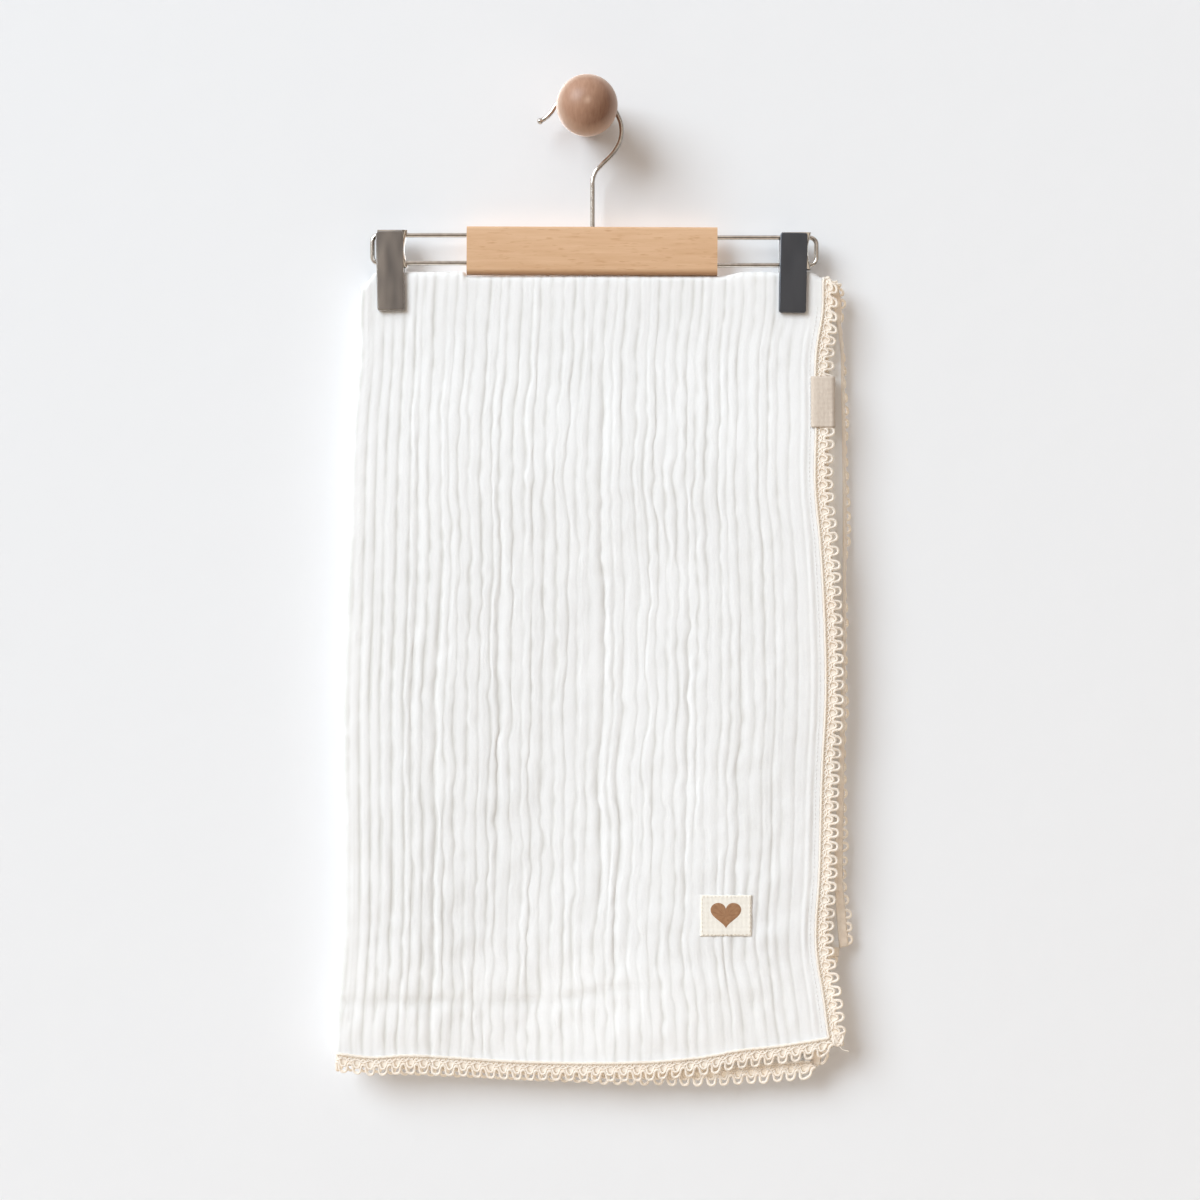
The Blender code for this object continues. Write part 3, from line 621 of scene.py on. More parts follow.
def blanket_rows():
    front = -np.concatenate([NEAR_HEM[:-1], np.linspace(NEAR_HEM[-1], 0, FRONT_ROWS - 1)])
    bend = np.linspace(0, 1, BEND_ROWS + 1)[1:-1]
    back = 1 + np.linspace(0, 1, BACK_ROWS + 1)
    return np.concatenate([front, bend, back])


across, turn = blanket_columns()
runs = blanket_rows()
print(len(runs), "rows and", len(across), "columns")

# %% Roll the hems
HEM_TURNS = 5
HEM_DEPTH = 0.0042


def unit(vectors):
    return vectors / np.maximum(np.linalg.norm(vectors, axis=-1, keepdims=True), 1e-9)


def hem_rolls(edge, before, outward_face, radius):
    """Rows of points that carry an edge round a roll and back behind the cloth."""
    out = unit(edge - before)
    face = unit(outward_face - out * (outward_face * out).sum(-1, keepdims=True))
    centre = edge - out * radius - face * radius
    rows = []
    for step in range(1, HEM_TURNS + 1):
        angle = math.pi * step / HEM_TURNS
        rows.append(centre + radius * (face * math.cos(angle) + out * math.sin(angle)))
    rows.append(rows[-1] - out * HEM_DEPTH)
    return rows


def face_normals(points):
    """Normals of a grid of points, rows by columns, towards the side that shows."""
    along = np.gradient(points, axis=0)
    sideways = np.gradient(points, axis=1)
    return unit(np.cross(along, sideways))


def hemmed(points, side_radius, hem_radius):
    normals = face_normals(points)
    first = hem_rolls(points[:, 0], points[:, 1], normals[:, 0], side_radius)
    last = hem_rolls(points[:, -1], points[:, -2], normals[:, -1], side_radius)
    wide = np.concatenate([np.stack(first[::-1], axis=1), points, np.stack(last, axis=1)], axis=1)
    normals = np.pad(normals, ((0, 0), (HEM_TURNS + 1, HEM_TURNS + 1), (0, 0)), mode="edge")
    top = hem_rolls(wide[0], wide[1], normals[0], hem_radius)
    bottom = hem_rolls(wide[-1], wide[-2], normals[-1], hem_radius)
    return np.concatenate([np.stack(top[::-1], axis=0), wide, np.stack(bottom, axis=0)], axis=0)


# %% Build the sheet
def new_piece(name, points, faces):
    """A smooth piece of these points and faces."""
    mesh = bpy.data.meshes.new(name)
    mesh.from_pydata(points, [], faces)
    mesh.shade_smooth()
    piece = bpy.data.objects.new(name, mesh)
    bpy.context.scene.collection.objects.link(piece)
    return piece


def distances(path):
    """How far each point of a path is along it."""
    return np.concatenate([[0], np.cumsum(np.linalg.norm(np.diff(path, axis=0), axis=1))])


def grid_piece(name, points):
    """A piece through a grid of points, rows by columns, with a UV map in metres along both directions."""
    rows, columns = points.shape[:2]
    index = np.arange(rows * columns).reshape(rows, columns)
    quads = np.stack([index[:-1, :-1], index[1:, :-1], index[1:, 1:], index[:-1, 1:]], axis=-1).reshape(-1, 4)
    piece = new_piece(name, points.reshape(-1, 3), quads.tolist())
    u, v = distances(points[rows // 2]), distances(points[:, columns // 2])
    uv = np.stack([np.tile(u, (rows, 1)), np.tile(v[:, None], (1, columns))], axis=-1).reshape(-1, 2)
    layer = piece.data.uv_layers.new(name="cloth")
    layer.data.foreach_set("uv", uv[quads.reshape(-1)].astype(np.float32).ravel())
    return piece


def crease_shade(across, turn, run):
    """How much painted shade each point of the outer layers gets in its creases, from 0 to a little past 1: more low
    on the left and along the packing fold, less near the seam. The muslin's colour darkens with it.
    """
    across, turn, run = np.broadcast_arrays(across, turn, run)
    behind = run > 0.5
    front_down = CROWN_DOWN - run * (smooth(FRONT_HEM, 1, across) - CROWN_DOWN)
    back_down = CROWN_DOWN + (run - 1) * (smooth(BACK_HEM, 1, across) - CROWN_DOWN)
    front, back = creases(across, front_down, FRONT, 0.34), creases(across, back_down, BACK, 0.34)
    deep = deep_creases(across, front_down) / 0.0020
    broken = 0.82 + 0.45 * soft_noise(seed=36, row=front_down / 0.0075, column=rib_at(across))
    low_left = 1 + 0.5 * ease(front_down, 0.22, 0.34) * (1 - ease(across, 0.15, 0.32))
    folded = packing_fold(across, front_down) / PACKED_DEPTH
    shade = np.where(behind, back, (front + deep + 0.7 * folded) * broken * low_left)
    return np.clip(shade, 0, 1.4) * (turn >= 0) * (1 - 0.7 * ease(across, 0.90, 0.98))


def keep_values(name, values):
    """Keeps a value at each point of the blanket, its hems as well, for the finish to read."""
    attribute = blanket.data.attributes.new(name, "FLOAT", "POINT")
    attribute.data.foreach_set("value", np.pad(values, HEM_TURNS + 1, mode="edge").astype(np.float32).ravel())


cloth = blanket_point(across[None, :], turn[None, :], runs[:, None], proud=CLOTH_THICK / 2)
blanket = grid_piece("muslin_blanket", hemmed(cloth, side_radius=0.00060, hem_radius=0.00065))
# the share of painted crease shade at each point, which the muslin's colour reads
keep_values("crease", crease_shade(across[None, :], turn[None, :], runs[:, None]))
keep_values("inner", np.broadcast_to(turn < 0, (len(runs), len(across))))
print("blanket:", len(blanket.data.polygons) * 2, "triangles")

# %% [markdown]
# ## The muslin's finish
#
# Double gauze is white, matt and open: single threads cross about every half millimetre and show as a fine grid.
# The pattern has to follow the cloth round its folds, so it reads the UV map, which is laid out in metres. Two waves,
# one for each set of threads, and a stretched noise for the uneven yarn make the bump. Two values kept at the sheet's
# points help: how much painted shade a point gets in its crease, which darkens the colour there, and whether it is on
# an inner layer, whose ribs are only a bump.

# %% Weave the muslin
THREADS = 1450  # waves in a metre, as the wave texture counts them


def weave_height(finish, threads, uneven):
    """A grey value that is high on the threads of a plain weave."""
    look = {"Vector": placed(finish, on="UV"), "Scale": threads / 20, "Distortion": uneven, "Detail": 1.0}
    warp, weft = (
        add_node(finish, "ShaderNodeTexWave", bands_direction=way, Detail_Scale=30.0, **look).outputs["Fac"]
        for way in ("X", "Y")
    )
    return add_node(finish, "ShaderNodeMath", warp, weft, operation="ADD").outputs["Value"]


def kept_value(name):
    return add_node(muslin, "ShaderNodeAttribute", attribute_name=name).outputs["Fac"]


muslin = new_finish("muslin", Roughness=0.92, Sheen_Weight=0.15, Sheen_Roughness=0.6, Specular_IOR_Level=0.2)
bleached = shade_between(muslin, mottle(muslin, 14, detail=4), (251, 251, 251), (254, 254, 254), 0.3, 0.7)
# painted shade: the colour darkens where the kept crease value is high
painted_crease_shade = shade_between(muslin, kept_value("crease"), (255, 255, 255), (233, 232, 229))
weave_bump = raise_by(muslin, weave_height(muslin, THREADS, 1.5), 0.00006, 0.5)
streaks = mottle(muslin, (150, 5, 1), detail=1, on="UV")
inner_ribs = add_node(muslin, "ShaderNodeMath", streaks, kept_value("inner"), operation="MULTIPLY").outputs["Value"]
inner_bump = raise_by(muslin, inner_ribs, 0.0030, 0.9, Normal=weave_bump)
fine_wrinkles = mottle(muslin, (260, 90, 1), detail=3, on="UV")
wrinkled = raise_by(muslin, fine_wrinkles, 0.0004, 0.6, Normal=inner_bump)
wire_in(muslin, blended(muslin, 1.0, bleached, painted_crease_shade, "MULTIPLY"), wrinkled)
let_light_through(muslin, (255, 250, 242), 0.14)
hand_over(blanket, muslin, "muslin", "blanket")

# %% [markdown]
# ## The lace edging
#
# The edging is crochet: a plain foot cord on the hem's edge, a closed ground band behind it with ties and arches over
# it, and two rows of round scallops. One pitch of it is a handful of curves in a flat strip: s along the seam, w
# outwards and n off the plane. Those curves are written once, repeated for the whole length, and each point is then
# carried from the strip to the seam, which bends over the fold and round the corners. A tube along each curve is the
# yarn. Where two runs meet at the front's lower corner the yarn is bunched up, with a short loose end.

# %% Sizes of the edging
LACE_TIP = 0.0132  # from the seam to the scallops' tips
LACE_PITCH = 0.0093
LACE_GAP = -0.0003  # the foot cord laps over the cloth's edge
HEM_LACE_UP = 0.0005  # and covers the lower side of the hem's roll
WALL_LEAN_WIDTH = 0.0110
LACE_THICK = 0.0012
DIAGONAL = np.array([1.0, 0.0, -1.0]) / math.sqrt(2) * 0.95  # the way out of a corner where two runs meet
UP_ASIDE = np.array([1.0, 0.0, 1.0]) / math.sqrt(2)
STRANDS = (  # name, yarn radius, thickness as a share of the width, sides, steps in a pitch
    ("scallops", 0.00096, 1.0, 6, 18),
    ("inner_scallops", 0.00084, 1.0, 6, 16),
    ("arches", 0.00066, 1.0, 5, 12),
    ("ties", 0.00046, 1.0, 4, 16),
    ("foot", 0.00090, 1.0, 6, 8),
    ("ground", 0.00390, 0.08, 8, 8),
)


def strand_place(name, t, vary):
    """Where a strand is at t turns of its pitch: s, w and n in metres. vary holds three slow random values."""
    angle = 2 * math.pi * t
    s = LACE_PITCH * t
    outwards = 1 - np.cos(angle)
    lean = 0.0005 * vary[1] * outwards
    if name == "scallops":
        w = 0.0058 + 0.0033 * (1 + 0.05 * vary[0]) * outwards
        s = s + 0.0006 * np.sin(2 * angle) - 0.0004 * np.sin(angle)
        return s + lean, w, 0.0005 * vary[2] * outwards - 0.0004 * np.cos(angle)
    if name == "inner_scallops":
        return s + 0.0004 * np.sin(2 * angle) + lean * 0.6, 0.0025 + 0.0029 * outwards, 0.0005 * np.cos(angle)
    if name == "arches":
        return s, 0.0035 + 0.0009 * np.cos(angle), -0.0003 * np.cos(angle)
    if name == "ties":
        return s, 0.0016 + 0.0009 * np.cos(3 * angle), 0.0002 * np.sin(3 * angle)
    if name == "ground":
        return s, 0.0038 + 0.0001 * np.cos(2 * angle), 0.0008 + 0.0001 * np.sin(2 * angle)
    return s, 0.0002 + 0.0001 * np.cos(2 * angle), 0.0001 * np.sin(2 * angle) - 0.0003


print(len(STRANDS), "strands in a pitch of", LACE_PITCH * 1000, "mm")


# %% The seams that the lace follows
def resampled(values, lengths, at):
    return np.stack([np.interp(at, lengths, values[:, i]) for i in range(values.shape[1])], axis=1)


def finer(values, steps=6):
    """Values with more rows, evenly between each two."""
    at = np.linspace(0, len(values) - 1, (len(values) - 1) * steps + 1)
    if values.ndim == 1:
        return np.interp(at, np.arange(len(values)), values)
    return resampled(values, np.arange(len(values)), at)


def mitre(outward, seam, corner, aside):
    """Turns the last stretch before a corner onto the diagonal, just off the other run."""
    near = 1 - ease(np.linalg.norm(seam - corner, axis=1), 0.0, 0.004)
    turned = outward * (1 - near[:, None]) + DIAGONAL * LACE_TIP * near[:, None]
    return turned, seam + np.array(aside) * SEWN_GAP * near[:, None]


def side_seam(turn):
    """The seam on the right, from the front hem over the top to the back hem, and the way out of it."""
    run = finer(runs)
    seam = blanket_point(1.0, turn, run)
    tangent = np.gradient(seam, axis=0) * np.where(run < 0.5, -1, 1)[:, None]
    outward = unit(np.stack([-tangent[:, 2], np.zeros(len(run)), tangent[:, 0]], axis=1)) * LACE_TIP
    outward[(run > 0) & (run < 1)] = (LACE_TIP, 0, 0)
    over = window(run, -0.03, 1.0, 0.05)[:, None]
    outward = outward * (1 - 0.22 * over) - np.array([0, 0, 0.0040]) * over
    if turn > 0:
        lean_x = smooth(BACK_SHAPE, 3, -seam[:, 2])
        lean_y = np.sqrt(np.maximum(WALL_LEAN_WIDTH**2 - lean_x**2, 0))
        share = ease(run, 1.0, 1.06)[:, None]
        outward = outward * (1 - share) + np.stack([lean_x, lean_y, np.zeros(len(run))], axis=1) * share
        seam = seam + ease(run, 0.6, 1.0)[:, None] * (LACE_THICK / 2 + SEWN_GAP, 0, 0)
    outward, seam = mitre(outward, seam, seam[0], UP_ASIDE)
    return seam, outward, np.full(len(run), float(turn))


def hem_seam(run):
    """The seam along a bottom hem, from the outer layer round the left fold to the inner layer."""
    seam = blanket_point(finer(across), finer(turn), run) + (0, 0, HEM_LACE_UP)
    outward = np.zeros_like(seam)
    outward[:, 2] = -LACE_TIP
    if run < 0:
        outward, seam = mitre(outward, seam, seam[0], -UP_ASIDE)
        outward, seam = mitre(outward, seam, seam[-1], -UP_ASIDE)
    return seam, outward, finer(turn)


print("front seam is", round(float(-side_seam(1)[0][:, 2].min()), 4), "m down at its foot")


# %% Spin the yarn
def tube(path, across_it, radius, sides, flatness=1.0):
    """Vertices and quads of a tube along a path, round or flattened along the direction across_it at each point."""
    along = unit(np.gradient(path, axis=0))
    side = unit(np.cross(along, across_it))
    up = np.cross(side, along)
    angles = 2 * math.pi * np.arange(sides) / sides
    ring = np.cos(angles)[None, :, None] * side[:, None] + flatness * np.sin(angles)[None, :, None] * up[:, None]
    verts = (path[:, None] + radius * ring).reshape(-1, 3)
    index = np.arange(len(path) * sides).reshape(len(path), sides)
    after = np.roll(index, -1, axis=1)
    quads = np.stack([index[:-1], index[1:], after[1:], after[:-1]], axis=-1).reshape(-1, 4)
    ends = [list(range(sides)), list(index[-1][::-1])]
    return verts, quads, ends


def joined(name, tubes):
    """One piece from many tubes."""
    points, faces, count = [], [], 0
    for verts, quads, ends in tubes:
        faces += (quads + count).tolist() + [[i + count for i in end] for end in ends]
        points.append(verts)
        count += len(verts)
    return new_piece(name, np.concatenate(points), faces)


def lay_lace(name, seam, outward, layer, seed, facing):
    """All the strands of one run of edging, as one piece. It lies nearer the face of the cloth that shows."""
    lengths = distances(seam)
    pitches = round(lengths[-1] / LACE_PITCH)
    stretch = lengths[-1] / (pitches * LACE_PITCH)
    flat = unit(np.cross(np.gradient(seam, axis=0), outward)) * facing
    tubes = []
    for strand, radius, flatness, sides, steps in STRANDS:
        t = np.arange(pitches * steps + 1) / steps
        vary = [soft_noise(seed + i, 3.0, np.round(t - 0.5) * 0.77) for i in range(3)]
        s, w, n = strand_place(strand, t, vary)
        s = np.clip(s * stretch, 0, lengths[-1])
        curl = 0.0016 * soft_noise(seed + 5, 1.0, s / 0.03) * (w / LACE_TIP) ** 1.5
        reach = resampled(outward, lengths, s)
        off = unit(resampled(flat, lengths, s))
        path = resampled(seam, lengths, s) + unit(reach) * LACE_GAP
        shown = np.interp(s, lengths, layer)
        path = path + reach * (w / LACE_TIP)[:, None] + off * ((n + curl - 0.0010) * shown)[:, None]
        tubes.append(tube(path, off, radius, sides, flatness))
    return joined(name, tubes)


cotton = new_finish(
    "ecru_cotton_yarn",
    Roughness=0.85,
    Sheen_Weight=0.4,
    # painted glow: the yarn emits a little cream light of its own
    Emission_Color=on_screen(255, 240, 222),
    Emission_Strength=0.06,  # light that scatters about inside the yarn
    Specular_IOR_Level=0.25,
)
dyed = shade_between(cotton, mottle(cotton, 60, detail=3), (254, 247, 238), (255, 252, 246), 0.3, 0.7)
wire_in(cotton, dyed, raise_by(cotton, mottle(cotton, 2600, detail=2), 0.00018, 0.35))
let_light_through(cotton, (255, 243, 225), 0.34)

# %% Sew on the four runs
RUNS = (  # name, the solid it stands for, its seam, seed, facing
    ("lace_right_edge", "lace_side_outer", side_seam(1), 80, 1),
    ("lace_inner_edge", "lace_side_inner", side_seam(-1), 90, 1),
    ("lace_front_hem", "lace_hem_front", hem_seam(-1), 100, -1),
    ("lace_back_hem", "lace_hem_back", hem_seam(2), 110, 1),
)
side_lace, inner_lace, front_lace, back_lace = (
    hand_over(lay_lace(name, *seam, seed, facing), cotton, "lace", node) for name, node, seam, seed, facing in RUNS
)


# %% Bunch up the yarn where two runs meet
def loose_yarn(name, path, radius, sides):
    """A round length of yarn on the front of the edging."""
    facing = np.tile([0.0, -1.0, 0.05], (len(path), 1))
    return hand_over(joined(name, [tube(path, facing, radius, sides)]), cotton, "lace")


corner = side_seam(1)[0][0] + np.array([0.0062, -0.0012, -0.0002])
t = np.linspace(0, 1, 240)[:, None]
ball = np.array([0.0038, 0.0009, 0.0046]) * np.sin(2 * math.pi * t * [7, 11, 8] + [0.3, 1.9, 1.2])
ball = ball * (0.8 + 0.2 * np.sin(2 * math.pi * 3 * t))
t = np.linspace(0, 1, 16)[:, None]
loose_end = np.array([0.0010, 0, -0.0040]) + t * [0.0060, -0.0004, -0.0052] + np.sin(4 * t) * [-0.0008, 0, -0.0009]
bunch = loose_yarn("lace_corner_bunch", corner + ball, 0.00075, 6)
thread_end = loose_yarn("lace_loose_end", corner + loose_end, 0.00026, 5)

# %% [markdown]
# ## The woven label on the edge
#
# A short tape is folded round the lace and caught in the hem's seam. Its ribbed face is left bare. The strip is a grid
# of points that bends round the edge and waves a little, and Solidify gives it a wall.

# %% Fold the label round the edge
LABEL = {"left": 0.1560, "right": 0.1702, "top": 0.1848, "bottom": 0.2204, "back": 0.0070, "thick": 0.0007}
LABEL_BEND = 0.0030  # radius round the lace's edge
LABEL_START = 0.0018  # how far in front of the seam its front end lies


def give_wall(piece, thickness, offset=-1):
    """Gives a sheet its thickness: all of it behind the sheet, or half on each side with an offset of 0."""
    change(piece, "SOLIDIFY", thickness=thickness, offset=offset)


def seam_place(down):
    """The front seam's y at a height."""
    seam = blanket_point(1.0, 1, np.linspace(-1, 0, 400))
    return np.interp(down, -seam[::-1, 2], seam[::-1, 1])


def label_points():
    rows = np.linspace(LABEL["top"], LABEL["bottom"], 30)
    points = []
    for down, y in zip(rows, seam_place(rows)):
        share = (down - LABEL["top"]) / (LABEL["bottom"] - LABEL["top"])
        lift = 0.00035 * math.sin(5.0 * share + 0.6)
        turned = np.linspace(-math.pi / 2, math.pi / 2, 9)
        front_x = np.linspace(LABEL["left"], LABEL["right"], 15)[:-1]
        front_y = y - LABEL_START - (LABEL_BEND - LABEL_START) * ease(front_x, 0.1556, 0.1588)
        front_y = front_y - lift * ease(front_x, 0.156, 0.170)
        bend = [
            (LABEL["right"] + LABEL_BEND * math.cos(a), y + LABEL_BEND * math.sin(a) - lift * 0.5) for a in turned
        ]
        back = [(x, y + LABEL_BEND) for x in np.linspace(LABEL["right"], LABEL["right"] - LABEL["back"], 6)[1:]]
        points.append([(px, py, -down) for px, py in [*zip(front_x, front_y), *bend, *back]])
    return np.array(points)


label = grid_piece("edge_label", label_points())
give_wall(label, LABEL["thick"])


# %% Weave the tapes
def tape_finish(name, dark, light):
    """A narrow woven tape: fine ribs across it, and a soft change of tone."""
    finish = new_finish(name, Roughness=0.75, Sheen_Weight=0.2, Specular_IOR_Level=0.3)
    tone = shade_between(finish, mottle(finish, (900, 250, 1), detail=3, on="UV"), dark, light, 0.25, 0.75)
    wire_in(finish, tone, raise_by(finish, weave_height(finish, 1900, 0.6), 0.00008, 0.8))
    return finish


hand_over(label, tape_finish("label_tape", (203, 188, 173), (217, 203, 188)), "label_tape", "side_label")

# %% [markdown]
# ## The square patch
#
# A small woven square is stitched low on the right. It lies on the crests of the ribs, a little wavy, with its edges
# folded under. It carries a plain heart, woven in brown: a thin raised shape of its own, laid on the patch's surface.

# %% Lay the patch on the ribs
PATCH = {"left": 0.0786, "right": 0.1147, "top": 0.5460, "bottom": 0.5751, "thick": 0.0005}


def crest_surface(x, down):
    """How far forward (y) a stiff little patch lies over the ribs at a place."""
    finely = np.linspace(0.6, 1, 500)
    run = -(down - CROWN_DOWN) / (smooth(FRONT_HEM, 1, 0.75) - CROWN_DOWN)
    front = blanket_point(finely, 1, run, proud=CLOTH_THICK / 2)
    return front[np.abs(front[:, 0] - x) < 0.006, 1].min()


rough_x = np.linspace(PATCH["left"] + 0.002, PATCH["right"] - 0.002, 7)
rough_down = np.linspace(PATCH["top"] + 0.002, PATCH["bottom"] - 0.002, 6)
rough_y = np.array([[crest_surface(x, down) for x in rough_x] for down in rough_down])


def patch_y(x, down):
    """The patch's front face at any place on it: a smooth sheet over the crests, edges turned in a little."""
    across_patch = np.clip((x - rough_x[0]) / (rough_x[-1] - rough_x[0]) * 6, 0, 6)
    down_patch = np.clip((down - rough_down[0]) / (rough_down[-1] - rough_down[0]) * 5, 0, 5)
    i, j = np.minimum(down_patch.astype(int), 4), np.minimum(across_patch.astype(int), 5)
    t, s = ease(down_patch - i, 0, 1), ease(across_patch - j, 0, 1)
    low = rough_y[i, j] * (1 - s) + rough_y[i, j + 1] * s
    high = rough_y[i + 1, j] * (1 - s) + rough_y[i + 1, j + 1] * s
    sides = [x - PATCH["left"], PATCH["right"] - x, down - PATCH["top"], PATCH["bottom"] - down]
    from_edge = np.min(sides, axis=0)
    return low * (1 - t) + high * t - 0.0004 - PATCH["thick"] * 0.75 * ease(from_edge, 0, 0.0016)


PATCH_COLUMNS, PATCH_ROWS = 73, 59
patch_x, patch_down = np.meshgrid(
    np.linspace(PATCH["left"], PATCH["right"], PATCH_COLUMNS), np.linspace(PATCH["top"], PATCH["bottom"], PATCH_ROWS)
)
bow = 0.00035 * np.sin(np.linspace(0, math.pi, PATCH_COLUMNS))[None, :] * np.linspace(1, -1, PATCH_ROWS)[:, None]
patch_front = patch_y(patch_x, patch_down)
patch = grid_piece("corner_patch_woven", np.stack([patch_x, patch_front, -patch_down - bow], axis=-1))
give_wall(patch, PATCH["thick"])
hand_over(patch, tape_finish("patch_tape", (239, 233, 222), (246, 241, 231)), "patch_tape", "corner_patch")

# %% Weave a heart into it
HEART = {"x": 0.0966, "down": 0.5606, "width": 0.0215, "height": 0.0180, "proud": 0.00012, "rings": 10}


def heart_outline(count=72):
    """The usual heart curve, scaled to a width and height of 1 and centred."""
    t = np.linspace(0, 2 * math.pi, count, endpoint=False)
    x = 16 * np.sin(t) ** 3
    y = 13 * np.cos(t) - 5 * np.cos(2 * t) - 2 * np.cos(3 * t) - np.cos(4 * t)
    return np.stack([x / (x.max() - x.min()), (y - (y.max() + y.min()) / 2) / (y.max() - y.min())], axis=1)


shares = np.linspace(1, 0, HEART["rings"])
outline = heart_outline()
heart_x = HEART["x"] + shares[:, None] * outline[None, :, 0] * HEART["width"]
heart_down = HEART["down"] - shares[:, None] * outline[None, :, 1] * HEART["height"]
heart_y = patch_y(heart_x, heart_down) - HEART["proud"] * np.where(shares < 1, 1, 0)[:, None]
rings = np.stack([heart_x, heart_y, -heart_down], axis=-1)
rings = np.concatenate([rings, rings[:, :1]], axis=1)
heart = grid_piece("patch_heart", rings)
close_up(heart, 0.00001)
hand_over(heart, tape_finish("brown_weft", (146, 104, 74), (176, 134, 98)), "patch_tape")

# %% [markdown]
# Small running stitches hold the patch down on all four sides and the hem all along the right edge. A stitch is one
# short bead of thread with tapered ends, and each row of stitches is one piece.

# %% Stitch the patch
STITCH = {"length": 0.0019, "pitch": 0.0027, "radius": 0.00021, "rise": 0.00022, "inset": 0.0013, "from_seam": 0.0042}


def stitch_line(name, places, directions, thread, material_slot):
    """A row of short tapered stitches on the front: each is a five-sided bead that dips at both ends."""
    steps = np.linspace(-0.5, 0.5, 5)
    taper = np.repeat(np.array([0.35, 0.9, 1.0, 0.9, 0.35]), 5)[:, None]
    out = np.array([0.0, -1.0, 0.0])
    beads = []
    for place, direction in zip(places, directions):
        path = place + direction * (steps * STITCH["length"])[:, None]
        path = path + out * (STITCH["rise"] * (1 - 4 * steps**2))[:, None]
        points, quads, ends = tube(path, np.tile(out, (5, 1)), STITCH["radius"], 5)
        centres = np.repeat(path, 5, axis=0)
        beads.append((centres + (points - centres) * taper, quads, ends))
    return hand_over(joined(name, beads), thread, material_slot)


def thread_finish(name, dark, light):
    """Smooth twisted thread."""
    finish = new_finish(name, Roughness=0.6)
    wire_in(finish, shade_between(finish, mottle(finish, 3000, detail=2), dark, light))
    return finish


def patch_stitches():
    """Where the patch's stitches lie, and which way they point."""
    left, right = PATCH["left"] + STITCH["inset"], PATCH["right"] - STITCH["inset"]
    top, bottom = PATCH["top"] + STITCH["inset"], PATCH["bottom"] - STITCH["inset"]
    level = [(x, down) for x in np.arange(left + 0.001, right, STITCH["pitch"]) for down in (top, bottom)]
    upright = [(x, down) for down in np.arange(top + 0.002, bottom - 0.001, STITCH["pitch"]) for x in (left, right)]
    spots = [(x, float(patch_y(np.array(x), np.array(down))), -down) for x, down in level + upright]
    return np.array(spots), np.array([(1.0, 0, 0)] * len(level) + [(0, 0, 1.0)] * len(upright))


sewing_thread = thread_finish("sewing_thread", (226, 214, 194), (246, 238, 224))
patch_thread = stitch_line("patch_stitches", *patch_stitches(), sewing_thread, "lace")


# %% Stitch the hem beside the lace
def hem_stitches():
    """Where the hem's stitches lie, and which way they point."""
    share = 1.0 - STITCH["from_seam"] / FOLDED_WIDTH
    seam = blanket_point(share, 1, np.linspace(-0.992, -0.03, 1200), proud=CLOTH_THICK / 2)
    lengths = distances(seam)
    at = np.arange(0.002, lengths[-1], STITCH["pitch"] * 1.15)
    spots = resampled(seam, lengths, at)
    return spots, unit(resampled(seam, lengths, at + 0.001) - spots)


white_thread = thread_finish("white_thread", (232, 230, 226), (250, 250, 250))
hem_thread = stitch_line("hem_stitches", *hem_stitches(), white_thread, "muslin")

# %% [markdown]
# ## The hanger's bar
#
# A planed strip of beech with eased edges. A cube is scaled to the strip's size, its long edges are bevelled round,
# and five blind holes are cut for the wires: one on top for the hook and two at each end for the wire loops. The bar
# hangs very slightly lower on its right.

# %% Plane the bar and drill it
WIRE_RADIUS = 0.0016
BORE_RADIUS = 0.0019
RAIL_SET = 0.030
HOOK_SET = 0.025
BAR_LEAN = -0.23  # degrees about Y: the right end hangs lower
SHANK_X = 0.0037
RAILS = (  # name, bar end x, loop end x, upper down, lower down, corner radius
    ("rail_left", BAR["left"], -0.1504, 0.0854, 0.1049, 0.0045),
    ("rail_right", BAR["right"], 0.1605, 0.0871, 0.1064, 0.0050),
)


def drill(piece, place, turn, depth):
    """Cuts a round hole of the wires' size, centred on a place."""
    start_alone()
    bpy.ops.mesh.primitive_cylinder_add(vertices=24, radius=BORE_RADIUS, depth=depth, location=place, rotation=turn)
    drill_bit = bpy.context.object
    change(piece, "BOOLEAN", object=drill_bit, solver="EXACT")
    bpy.data.objects.remove(drill_bit)


start_alone()
bar_middle = ((BAR["left"] + BAR["right"]) / 2, HANG_Y, -(BAR["top"] + BAR["bottom"]) / 2)
bpy.ops.mesh.primitive_cube_add(size=1, location=bar_middle)
bar = bpy.context.object
bar.name = "beech_bar"
bar.scale = (BAR["right"] - BAR["left"], BAR["depth"], BAR["bottom"] - BAR["top"])
settle_in_place(bar)
start_editing(bar)
round_edges(bar, 0.0028, 6, lambda at, way: abs(way.x) > 0.9 and at.z < -BAR["bottom"] + 0.001)
round_edges(bar, 0.0022, 6, lambda at, way: abs(way.x) > 0.9 and at.z > -BAR["top"] - 0.001)
bpy.ops.mesh.select_all(action="SELECT")
bpy.ops.transform.rotate(value=math.radians(BAR_LEAN), orient_axis="Y", center_override=bar_middle)
bpy.ops.object.mode_set(mode="OBJECT")
print("right end of the bar is at", round(max(vert.co.z for vert in bar.data.vertices if vert.co.x > 0.08), 4))
smooth_up_to(30)
drill(bar, (SHANK_X, HANG_Y, -BAR["top"] - HOOK_SET / 2 + 0.002), (0, 0, 0), HOOK_SET + 0.005)
for _, bar_end, loop_end, upper, lower, _ in RAILS:
    outwards = math.copysign(1, loop_end - bar_end)
    for level in (upper, lower):
        middle = bar_end - outwards * (RAIL_SET / 2 - 0.002)
        drill(bar, (middle, HANG_Y, -level), (0, math.pi / 2, 0), RAIL_SET + 0.005)
